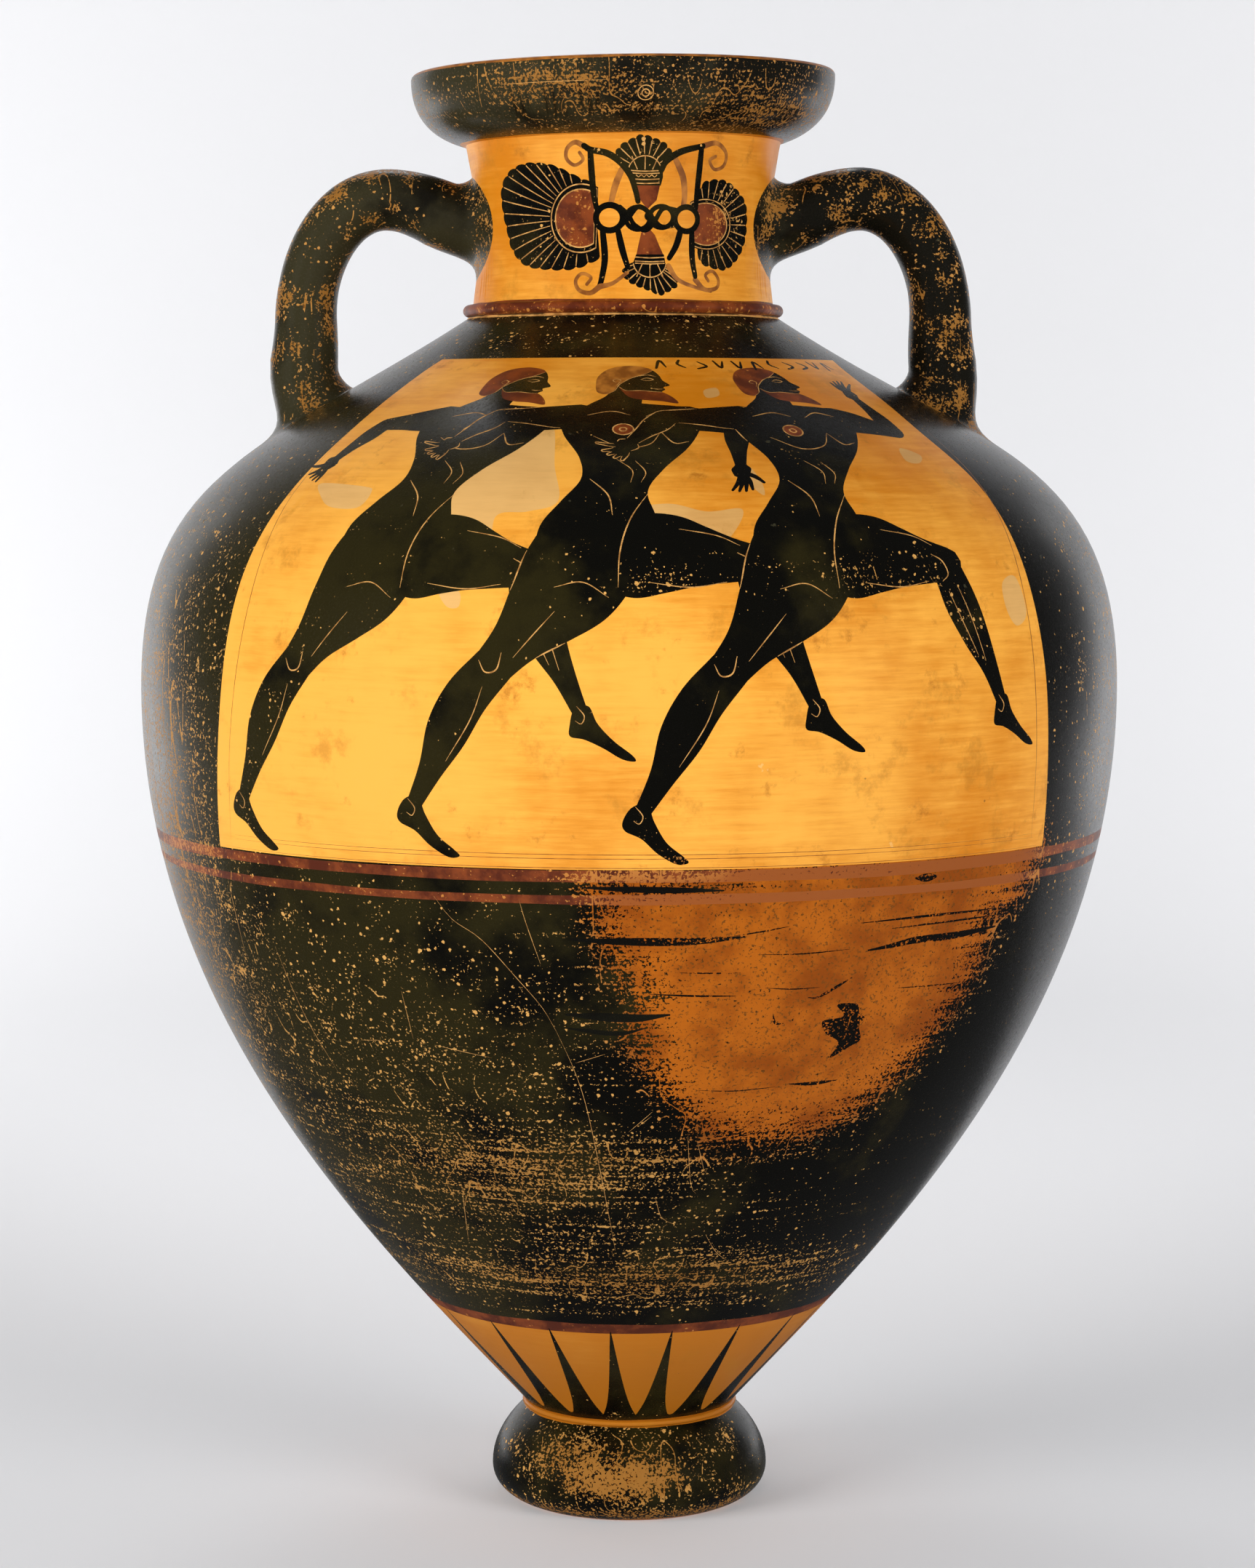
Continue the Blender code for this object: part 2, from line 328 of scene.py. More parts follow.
bands = [
    (2.2 * MM, CLAY, 0.9, 0.3),
    (FOOT_TOP - 0.6 * MM, SLIP, 0.5, 1.7),
    (BELLY_START + 0.6 * MM, CLAY, 0.3, 0.0),
    (RAY_BASE, SLIP, 0.3, 4.0),
    (RAY_TOP, CLAY, 0.0, 0.0),
    (ZONE_TOP, RED, 0.8, 2.0),
    (LINE_ONE[0], SLIP, 0.5, 5.0),
    (LINE_ONE[1], RED, 0.6, 0.4),
    (LINE_TWO[0], SLIP, 0.5, 3.3),
    (LINE_TWO[1], RED, 0.4, 1.1),
    (SHOULDER_EDGE, SLIP, 0.5, 0.9),
    (COLLAR_START + 0.3 * MM, CUT, 0.5, 2.0),
    (NECK_START + 0.6 * MM, RED, 0.4, 3.0),
    (MOUTH_BLACK, CLAY, 0.9, 5.5),
    (TOP - 2.6 * MM, WORN, 0.4, 0.2),
]

turns_round = np.linspace(-math.pi, math.pi, TURNS + 1)
for v, _, waver, seed in bands:
    edge_lines.append(np.column_stack((turns_round, wavy(v, turns_round, waver * MM, seed))))
for v in (FOOT_TOP, BELLY_START, NECK_START, MOUTH_START - 1 * MM, MOUTH_START, MOUTH_START + 1 * MM):
    edge_lines.append(np.column_stack((turns_round, np.full(TURNS + 1, v))))


def band_colour(azimuth, v):
    """The colour of the ground bands at each place."""
    colour = np.full(len(v), BROWN)
    for v_top, code, waver, seed in reversed(bands):
        colour[v <= wavy(v_top, azimuth, waver * MM, seed)] = code
    return colour


RAYS = 20
ray_widths = (
    (0, 16.5), (2, 14.2), (6, 12.0), (12, 9.6), (22, 7.2), (34, 5.2), (50, 3.0), (62, 1.5), (69.5, 0.4),
)
for k in range(RAYS):
    turn = math.radians(-5 + 18 * k) + 0.03 * math.sin(4.7 * k)
    twist = 0.6 * MM * math.sin(2.9 * k)
    tall = (RAY_TOP - RAY_BASE + 2 * MM) / (69.5 * MM)
    left = [(-w / 2 * MM + twist * h / 69.5, h * MM * tall) for h, w in ray_widths]
    right = [(w / 2 * MM + twist * h / 69.5, h * MM * tall) for h, w in reversed(ray_widths)]
    lay(SLIP, flowing(left + right, closed=True, step=3 * MM), turn, RAY_BASE - 1 * MM)

# The picture panels are left clay between the black sides: their side edges follow the jar.

panel_sides = (
    (0.0, -53.6, 54.4),
    (0.12, -52.2, 53.4),
    (0.25, -50.9, 52.6),
    (0.42, -49.8, 51.6),
    (0.60, -48.7, 51.9),
    (0.75, -49.0, 52.6),
    (0.88, -50.6, 57.4),
    (0.96, -51.2, 61.5),
    (1.0, -50.6, 65.0),
)
for middle, squeeze in ((FRONT, 1.0), (BACK, 0.97)):
    low = [(math.radians(a) * squeeze, PANEL_BASE + s * (PANEL_TOP - PANEL_BASE)) for s, a, _ in panel_sides]
    high = [(math.radians(a) * squeeze, PANEL_BASE + s * (PANEL_TOP - PANEL_BASE)) for s, _, a in panel_sides]
    left = flowing(low, step=0.004)
    right = flowing(high, step=0.004)
    top = np.column_stack((np.linspace(left[-1][0], right[-1][0], 90), np.full(90, PANEL_TOP)))
    base = np.column_stack((np.linspace(left[0][0], right[0][0], 90), np.full(90, PANEL_BASE)))
    outline = np.vstack((left, top[1:-1], right[::-1], base[::-1][1:-1]))
    outline[:, 0] += middle
    painted.append((CLAY, outline))

# Chips in the panel were filled and toned in paler clay colours.  Places on the jar are written
# here as azimuth in degrees and height in cm.


def spot_on(colour, places, half_mm=0, step=1.5 * MM):
    """A patch, or with a half width a stroke with thin ends, through places on the jar."""
    levels = [level_at_height(height * CM) for _, height in places]
    points = [(math.radians(turn) * float(radius_at(v)), v) for (turn, _), v in zip(places, levels)]
    half = half_mm * MM
    ends = (0.25 * half, half, half, 0.25 * half)
    lay(colour, brushed(points, ends, step=step) if half_mm else flowing(points, True, step), 0, 0)


for places in (
    ((-20.2, 46.9), (-12.3, 47.0), (-9.8, 45.2), (-8.6, 43.9), (-12.0, 43.5), (-15.8, 43.3), (-15.5, 41.6),
     (-17.6, 42.0), (-22.0, 42.7), (-27.2, 43.0), (-26.6, 44.4), (-23.2, 45.6)),
    (
        (-0.8, 43.5), (4.5, 43.8), (9.1, 43.5), (13.3, 43.6), (12.4, 42.9), (9.8, 42.2), (6.9, 42.9),
        (4.3, 43.0), (0.3, 42.9),
    ),
    ((-43.8, 44.5), (-35.7, 44.4), (-34.1, 44.2), (-34.9, 43.6), (-39.3, 43.6), (-42.1, 44.0)),
    ((42.8, 45.9), (45.5, 45.6), (43.5, 45.3), (41.4, 45.4)),
    ((-21.0, 40.5), (-18.7, 40.5), (-18.5, 39.9), (-19.9, 39.9)),
    ((15.9, 45.2), (16.8, 44.6), (16.6, 44.1), (15.4, 44.5)),
    ((15.2, 48.2), (18.0, 48.3), (17.6, 48.0), (15.0, 47.9)),
    ((46.5, 40.6), (49.2, 40.8), (49.8, 39.4), (47.6, 38.9), (46.2, 39.6)),
):
    spot_on(TONED, places)

# Thin brown guide lines run along the panel's base and up inside its sides.

for height, first, last in ((30.49, -50, 52), (30.33, -50, 52), (29.97, -51, 53)):
    spot_on(BROWN, [(first + (last - first) * k / 12, height) for k in range(13)], 0.13, 6 * MM)
spot_on(BROWN, ((51.6, 30.3), (50.6, 34.5), (50.0, 39.0), (51.6, 43.5), (55.2, 46.6)), 0.22, 6 * MM)
spot_on(BROWN, ((-51.0, 30.3), (-49.2, 34.5), (-47.4, 39.0), (-47.6, 43.5), (-49.0, 46.6)), 0.16, 6 * MM)

# The foot race, the common picture on prize jars: three runners in full stride, drawn as black
# shapes with added red for hair, beard and nipple, and cut lines for what lies within the body.

HIP_LEVEL = level_at_height(0.4230)
LINE = 0.27 * MM
FINE = 0.20 * MM
HAIR_STEP = 0.8 * MM
earlier_bodies = []


def cm(*points):
    """Drawn points given in centimetres."""
    return [(x * CM, y * CM) for x, y in points]


def widths(*half_widths):
    """Half widths given in centimetres."""
    return [w * CM for w in half_widths]


def between(a, b, share):
    return (a[0] + (b[0] - a[0]) * share, a[1] + (b[1] - a[1]) * share)


def moved(points, place, size=1.0):
    return [(place[0] + x * size, place[1] + y * size) for x, y in points]


def circle(radius, count=18):
    turn = np.linspace(0, 2 * math.pi, count, endpoint=False)
    return [(radius * math.cos(a), radius * math.sin(a)) for a in turn]


def cut_line(points, azimuth, v, half_width=LINE):
    """A line cut through the slip with a point, thinner at its ends."""
    ends = (half_width * 0.35, half_width, half_width, half_width * 0.35)
    lay(CUT, brushed(points, ends, step=1.0 * MM), azimuth, v)


def runner(azimuth, v, arms, lean, stride, hair_colour, bearded=True):
    """One runner, drawn about the hip.  lean moves the shoulders forward, stride opens the legs."""
    own = []

    def upright(points):
        return [(x + lean * max(y, 0), y) for x, y in points]

    def black(outline):
        lay(SLIP, outline, azimuth, v)
        own.append(painted[-1][1])

    def cut(points, half_width=LINE):
        cut_line(cm(*points), azimuth, v, half_width)

    rear_knee = (-4.4 - 0.5 * stride, -5.3 + 0.2 * stride)
    rear_ankle = (-7.5 - 0.6 * stride, -10.6 + 0.4 * stride)
    front_knee = (5.7 + 0.3 * stride, -1.1 + 0.5 * stride)
    front_ankle = (8.1 + 0.4 * stride, -6.7 + 0.3 * stride)

    # The leg that drives back.
    hip = (-0.8, -0.9)
    black(brushed(
        cm((0.2, 0.9), hip, between(hip, rear_knee, 0.5), rear_knee),
        widths(1.4, 1.95, 2.05, 1.6, 1.0, 0.72), widths(1.5, 2.2, 2.1, 1.5, 0.95, 0.78), 1.0 * MM,
    ))
    calf = [between(rear_knee, rear_ankle, share) for share in (0.3, 0.65)]
    black(brushed(
        cm(between(hip, rear_knee, 0.92), *calf, rear_ankle),
        widths(0.80, 0.62, 0.62, 0.42, 0.30), widths(0.84, 1.18, 1.12, 0.60, 0.30), 1.0 * MM,
    ))
    black(flowing(cm(*moved((
        (0.24, 0.45), (0.55, -0.25), (1.05, -1.05), (1.72, -1.60), (1.95, -1.86), (1.50, -1.92),
        (0.75, -1.50), (0.10, -0.92), (-0.55, -0.60), (-0.66, -0.22), (-0.34, 0.32),
    ), rear_ankle)), True, 0.8 * MM))

    # The trunk: broad chest, narrow waist.
    black(flowing(cm(*upright((
        (-2.3, -1.8), (-2.75, -0.6), (-2.5, 0.7), (-1.55, 1.9), (-0.65, 3.1), (-0.55, 4.4), (-0.95, 6.0),
        (-0.85, 7.4), (0.1, 8.2), (1.6, 8.5), (3.0, 8.35), (4.1, 8.1), (4.65, 7.3), (4.45, 6.3),
        (3.75, 5.0), (2.65, 3.7), (1.85, 2.4), (2.0, 1.1), (2.1, -0.6), (0.8, -2.2),
    ))), True, 1.0 * MM))

    # The leg that is lifted.
    black(brushed(
        cm((0.3, -0.2), (2.2, -0.45), between((0.3, -0.2), front_knee, 0.7), front_knee),
        widths(1.3, 1.65, 1.65, 1.30, 0.95, 0.72), widths(1.9, 2.0, 1.65, 1.25, 0.95, 0.72), 1.0 * MM,
    ))
    calf = [between(front_knee, front_ankle, share) for share in (0.3, 0.65)]
    black(brushed(
        cm(between((0.3, -0.2), front_knee, 0.95), *calf, front_ankle),
        widths(0.80, 0.62, 0.50, 0.38, 0.28), widths(0.70, 1.10, 0.95, 0.50, 0.28), 1.0 * MM,
    ))
    black(flowing(cm(*moved((
        (0.26, 0.35), (0.60, -0.30), (1.20, -0.95), (1.90, -1.50), (2.02, -1.74), (1.52, -1.66),
        (0.80, -1.24), (0.10, -0.92), (-0.44, -0.80), (-0.46, -0.38), (-0.28, 0.25),
    ), front_ankle)), True, 0.8 * MM))

    # Each arm: shoulder, elbow, wrist and the turn of each finger.
    for shoulder, elbow, wrist, fingers in arms:
        shoulder, elbow, wrist = upright((shoulder, elbow, wrist))
        black(brushed(
            cm(shoulder, between(shoulder, elbow, 0.5), elbow),
            widths(0.95, 0.88, 0.62, 0.46), widths(0.95, 0.78, 0.60, 0.46), 1.0 * MM,
        ))
        black(brushed(
            cm(elbow, between(elbow, wrist, 0.45), wrist),
            widths(0.48, 0.52, 0.34, 0.23), widths(0.46, 0.48, 0.34, 0.23), 1.0 * MM,
        ))
        direction = math.atan2(wrist[1] - elbow[1], wrist[0] - elbow[0])
        palm = (wrist[0] + 0.40 * math.cos(direction), wrist[1] + 0.40 * math.sin(direction))
        black(brushed(cm(wrist, palm), widths(0.25, 0.40, 0.38), step=1.0 * MM))
        for bent in fingers:
            turn = direction + bent
            joint = (palm[0] + 0.60 * math.cos(turn + 0.12), palm[1] + 0.60 * math.sin(turn + 0.12))
            tip = (palm[0] + 1.10 * math.cos(turn), palm[1] + 1.10 * math.sin(turn))
            black(brushed(cm(palm, joint, tip), widths(0.13, 0.11, 0.06), step=1.5 * MM))

    # A plain profile head with a cap of hair and, on a man, a pointed beard.
    neck = (1.8 + lean * 8.4, 8.3)
    head = (neck[0] + 0.25, neck[1] + 1.85)
    throat = (moved([(-0.4, -0.5)], neck)[0], moved([(0, 0.6)], neck)[0], head)
    black(brushed(cm(*throat), widths(1.2, 0.72, 0.75)))
    black(flowing(cm(*moved((
        (-1.25, 0.55), (-0.75, 1.25), (0.10, 1.45), (0.85, 1.20), (1.22, 0.68), (1.38, 0.22),
        (1.70, -0.22), (1.42, -0.40), (1.50, -0.62), (1.36, -0.80), (1.30, -1.15), (0.70, -1.35),
        (-0.30, -1.10), (-1.15, -0.70), (-1.40, -0.05),
    ), head, 0.92)), True, HAIR_STEP))
    outline_previous(own)
    cap = (
        (0.92, 1.12), (0.55, 1.42), (-0.15, 1.55), (-0.95, 1.28), (-1.42, 0.60), (-1.52, -0.15),
        (-1.45, -0.85), (-1.05, -1.05), (-0.72, -0.70), (-0.55, -0.20), (-0.30, 0.10), (0.05, 0.45),
        (0.55, 0.75),
    )
    lay(hair_colour, flowing(cm(*moved(cap, head, 0.92)), True, HAIR_STEP), azimuth, v)
    if bearded:
        beard = (
            (-0.52, -0.35), (-0.20, -0.72), (0.45, -0.72), (0.95, -0.82), (1.38, -0.86), (1.85, -1.35),
            (2.05, -1.86), (1.30, -1.66), (0.55, -1.55), (-0.10, -1.25),
        )
        lay(RED, flowing(cm(*moved(beard, head, 0.92)), True, HAIR_STEP), azimuth, v)
        beard_edge = ((-0.52, -0.35), (-0.20, -0.70), (0.45, -0.70), (0.95, -0.80), (1.36, -0.84))
        cut(moved(beard_edge, head, 0.92), FINE)
    for drawn in (
        ((0.92, 1.12), (0.55, 0.76), (0.05, 0.46), (-0.28, 0.12), (-0.52, -0.22), (-0.70, -0.72),
         (-1.05, -1.05)),
        ((-0.62, 0.02), (-0.78, 0.20), (-0.62, 0.36), (-0.44, 0.22), (-0.50, 0.0), (-0.62, -0.22)),
        ((0.42, 0.30), (0.68, 0.44), (0.98, 0.30), (0.70, 0.20), (0.44, 0.29)),
        ((0.36, 0.60), (0.72, 0.72), (1.08, 0.56)),
        ((0.95, -0.52), (1.18, -0.58), (1.44, -0.55)),
    ):
        cut(moved(drawn, head, 0.92), FINE)

    # Collar bones, chest, flank and groin, then the muscles of the legs.
    for drawn in (
        ((0.2, 7.5), (1.2, 7.8), (1.9, 7.5)),
        ((4.0, 7.5), (3.2, 7.8), (2.5, 7.4)),
        ((0.2, 5.9), (1.2, 5.1), (2.3, 5.3), (2.9, 6.2)),
        ((2.9, 6.2), (3.3, 5.4), (3.9, 5.5)),
        ((-0.3, 3.1), (0.3, 2.2), (0.35, 1.2)),
        ((1.85, 2.3), (1.0, 1.0), (0.5, -0.4), (0.45, -1.9)),
    ):
        cut(upright(drawn))
    for drawn in (
        ((0.9, 4.3), (1.4, 3.6), (1.25, 2.9)),
        ((1.6, 4.2), (1.9, 3.5), (1.65, 2.9)),
        ((-2.0, -1.9), (-0.9, -1.7), (0.1, -2.3)),
        ((1.6, -1.7), (3.2, -1.9), (4.6, -1.7)),
        ((2.8, 0.55), (4.2, 0.25), (5.1, -0.2)),
    ):
        cut(upright(drawn), FINE)
    nipple = upright([(1.45, 6.4)])[0]
    for colour, radius in ((CUT, 0.44), (RED, 0.38), (CUT, 0.17), (RED, 0.11)):
        lay(colour, cm(*moved(circle(radius), nipple)), azimuth, v)
    cut(moved(((-0.8, 0.45), (-0.3, 0.15), (-0.1, -0.4), (-0.45, -0.7)), front_knee))
    cut(moved(((-0.2, -1.1), (0.35, -2.3), (1.1, -3.7)), front_knee), FINE)
    cut(moved(((0.30, -0.9), (0.85, -2.2), (1.5, -3.9)), front_knee), FINE)
    cut(moved(((0.55, 0.8), (0.35, 0.15), (-0.1, 0.05), (-0.35, 0.5)), rear_knee))
    cut(moved(((-0.2, -0.5), (-0.7, -1.8), (-1.7, -3.4)), rear_knee), FINE)
    cut(moved(((2.6, 2.4), (1.7, 1.4), (1.0, 0.6)), rear_knee), FINE)
    for ankle in (front_ankle, rear_ankle):
        cut(moved(((-0.20, 0.35), (0.10, -0.02), (-0.02, -0.32), (-0.25, -0.20)), ankle), FINE)


def outline_previous(own):
    """Cuts a line along a runner's edges where they cross a runner painted before."""
    for shape in own:
        inside = np.zeros(len(shape), bool)
        for body in earlier_bodies:
            inside |= within(shape, body)
        for other in own:
            if other is not shape:
                inside &= ~within(shape, other)
        flat = np.column_stack((shape[:, 0] * radius_at(shape[:, 1]), shape[:, 1]))
        stops = np.nonzero(~inside)[0]
        if len(stops) == 0:
            continue
        order = np.roll(np.arange(len(shape)), -stops[0])
        run = []
        for i in order:
            if inside[i]:
                run.append(flat[i])
            elif run:
                if len(run) > 3:
                    cut_line(run, 0.0, 0.0)
                run = []
        if len(run) > 3:
            cut_line(run, 0.0, 0.0)
    earlier_bodies.extend(own)


REACHING = ((3.9, 7.3), (6.2, 7.0), (7.4, 6.8), (-0.1, 0.15))
RAISED = ((3.9, 7.3), (6.7, 6.3), (6.3, 9.0), (-0.45, -0.2, 0.05, 0.3, -0.9))
LOWERED = ((3.9, 7.3), (5.9, 6.5), (5.7, 3.9), (-0.40, -0.15, 0.1, 0.35, 0.9))
SWUNG_BACK = ((-0.1, 7.4), (-3.0, 6.9), (-4.7, 4.4), (-0.4, -0.15, 0.1, 0.35, -0.9))
HELD_BACK = ((-0.1, 7.4), (-3.3, 7.5), (-5.5, 5.6), (-0.4, -0.15, 0.1, 0.35, -0.9))

runner(math.radians(-27.0), HIP_LEVEL, (REACHING, SWUNG_BACK), -0.12, 0.0, RED)
runner(math.radians(-2.5), HIP_LEVEL + 1 * MM, (LOWERED, HELD_BACK), -0.15, 0.3, BROWN)
runner(math.radians(22.0), HIP_LEVEL, (RAISED, HELD_BACK), -0.06, 0.15, RED)

# A row of short brush strokes runs along the panel's top, to the right of the middle head.

ROW_LEVEL = level_at_height(0.4926)
stroke_shapes = (
    ((-0.30, -0.45), (0.0, 0.45), (0.28, -0.30)),
    ((-0.25, 0.40), (-0.05, -0.40), (0.30, 0.35)),
    ((-0.28, -0.38), (0.30, -0.10), (-0.10, 0.42)),
    ((0.0, 0.45), (-0.18, 0.0), (0.20, -0.42)),
)
for k in range(11):
    place = math.radians(8.5 + 4.7 * k)
    drawn = cm(*moved(stroke_shapes[(3 * k + k // 4) % 4], (0, 0), 0.72))
    rise = 0.6 * MM * math.sin(2.3 * k)
    lay(SLIP, brushed(drawn, (0.5 * MM, 0.7 * MM, 0.35 * MM), step=1.5 * MM), place, ROW_LEVEL + rise)

# The neck carries the usual chain of palmettes and lotus buds, front and back, drawn with the
# brush round a knot of loops, with added red on the hearts and cut lines between the leaves.

NECK_LEVEL = float(np.interp(0.5543, line[up > NECK_START, 1], up[up > NECK_START]))

left_palmette = (
    (-2.15, 1.30), (-2.85, 1.60), (-3.80, 2.05), (-4.60, 2.22), (-5.45, 2.22), (-6.30, 1.90),
    (-6.80, 1.25), (-6.75, 0.40), (-6.45, -0.50), (-6.10, -1.30), (-5.30, -1.95), (-3.95, -2.15),
    (-2.85, -2.10), (-1.85, -1.70),
)
right_palmette = (
    (2.35, 0.80), (2.55, 1.35), (3.05, 1.52), (3.75, 1.50), (4.45, 1.15), (5.05, 0.60), (5.15, -0.28),
    (4.95, -1.05), (4.45, -1.68), (3.75, -2.10), (3.05, -2.05), (2.50, -1.85), (2.30, -1.38),
)
upper_bud = (
    (-0.83, 1.87), (-1.15, 2.18), (-1.24, 2.55), (-1.05, 2.86), (-0.68, 3.08), (-0.18, 3.28), (0.50, 3.08),
    (0.86, 2.88), (1.12, 2.45), (0.85, 2.10), (0.73, 1.87),
)
lower_bud = (
    (-0.50, -1.88), (-0.90, -2.20), (-0.80, -2.55), (-0.45, -2.80), (0.20, -3.05), (0.60, -3.22),
    (1.00, -3.05), (1.36, -2.82), (1.30, -2.55), (1.00, -2.20), (0.85, -1.90),
)
upper_calyx = ((-0.83, 1.90), (-0.69, 1.54), (-0.52, 1.25), (0.65, 1.25), (0.74, 1.60), (0.73, 1.90))
lower_calyx = ((-0.37, -1.57), (-0.50, -1.92), (0.86, -1.92), (0.80, -1.56))
upper_heart = ((-0.34, 1.27), (-0.28, 0.75), (0.09, 0.28), (0.48, 0.65), (0.62, 1.27))
lower_heart = (
    (-0.36, -1.58), (-0.28, -1.20), (-0.16, -0.68), (0.17, -0.50), (0.42, -0.77), (0.60, -1.20),
    (0.78, -1.58),
)
THICK = (0.12, 0.14, 0.13, 0.11)
THIN = (0.12, 0.09, 0.075, 0.07)
tendrils = (
    (BROWN, THICK, ((-0.99, 1.91), (-1.24, 1.27), (-1.43, 0.50))),
    (BROWN, THICK, ((1.26, 2.35), (1.62, 1.60), (1.70, 0.83), (1.64, 0.40))),
    (BROWN, THIN, (
        (-2.60, 2.88), (-2.98, 3.05), (-3.32, 2.80), (-3.34, 2.38), (-2.98, 2.10), (-2.62, 2.32),
        (-2.78, 2.62),
    )),
    (BROWN, THIN, (
        (-1.90, -2.90), (-2.30, -3.16), (-2.78, -3.03), (-2.92, -2.65), (-2.64, -2.35), (-2.26, -2.52),
        (-2.44, -2.80),
    )),
    (BROWN, THIN, (
        (2.52, 2.90), (3.19, 3.03), (3.70, 2.65), (3.60, 2.15), (3.12, 1.98), (2.86, 2.32), (3.16, 2.50),
    )),
    (BROWN, THIN, (
        (2.20, -2.59), (2.65, -2.98), (3.26, -2.90), (3.36, -2.54), (3.05, -2.21), (2.70, -2.37),
        (2.84, -2.62),
    )),
    (BROWN, THIN, ((0.99, -2.04), (1.40, -2.59), (2.20, -2.90), (2.95, -3.05))),
    (SLIP, THICK, (
        (-2.60, 2.90), (-2.30, 2.72), (-1.63, 2.57), (-1.07, 2.21), (-0.63, 1.65), (-0.41, 1.05),
        (-0.30, 0.60),
    )),
    (SLIP, THICK, ((-2.32, 2.70), (-2.24, 1.71), (-2.13, 0.83), (-2.02, 0.33))),
    (SLIP, THICK, ((-1.76, -0.55), (-1.67, -1.71), (-1.79, -2.48), (-1.90, -2.90))),
    (BROWN, THIN, ((-1.90, -2.90), (-1.35, -2.76), (-0.74, -2.32))),
    (SLIP, THICK, ((-1.12, -0.60), (-0.94, -1.38), (-0.72, -2.10))),
    (SLIP, THICK, ((2.45, 2.88), (2.36, 1.82), (2.28, 1.05), (2.23, 0.35))),
    (SLIP, THICK, ((0.66, 1.87), (0.88, 2.26), (1.52, 2.65), (2.52, 2.90))),
    (SLIP, THICK, ((2.05, -0.60), (2.07, -1.71), (2.20, -2.45))),
    (SLIP, THICK, ((1.58, -0.40), (1.35, -1.16), (1.03, -1.71))),
)
loops = (
    (SLIP, 0.13, (-1.48, -0.07), (0.56, 0.52)),
    (SLIP, 0.12, (1.80, -0.10), (0.52, 0.50)),
    (SLIP, 0.10, (-0.30, -0.09), (0.50, 0.46)),
    (SLIP, 0.10, (0.70, -0.03), (0.50, 0.44)),
)


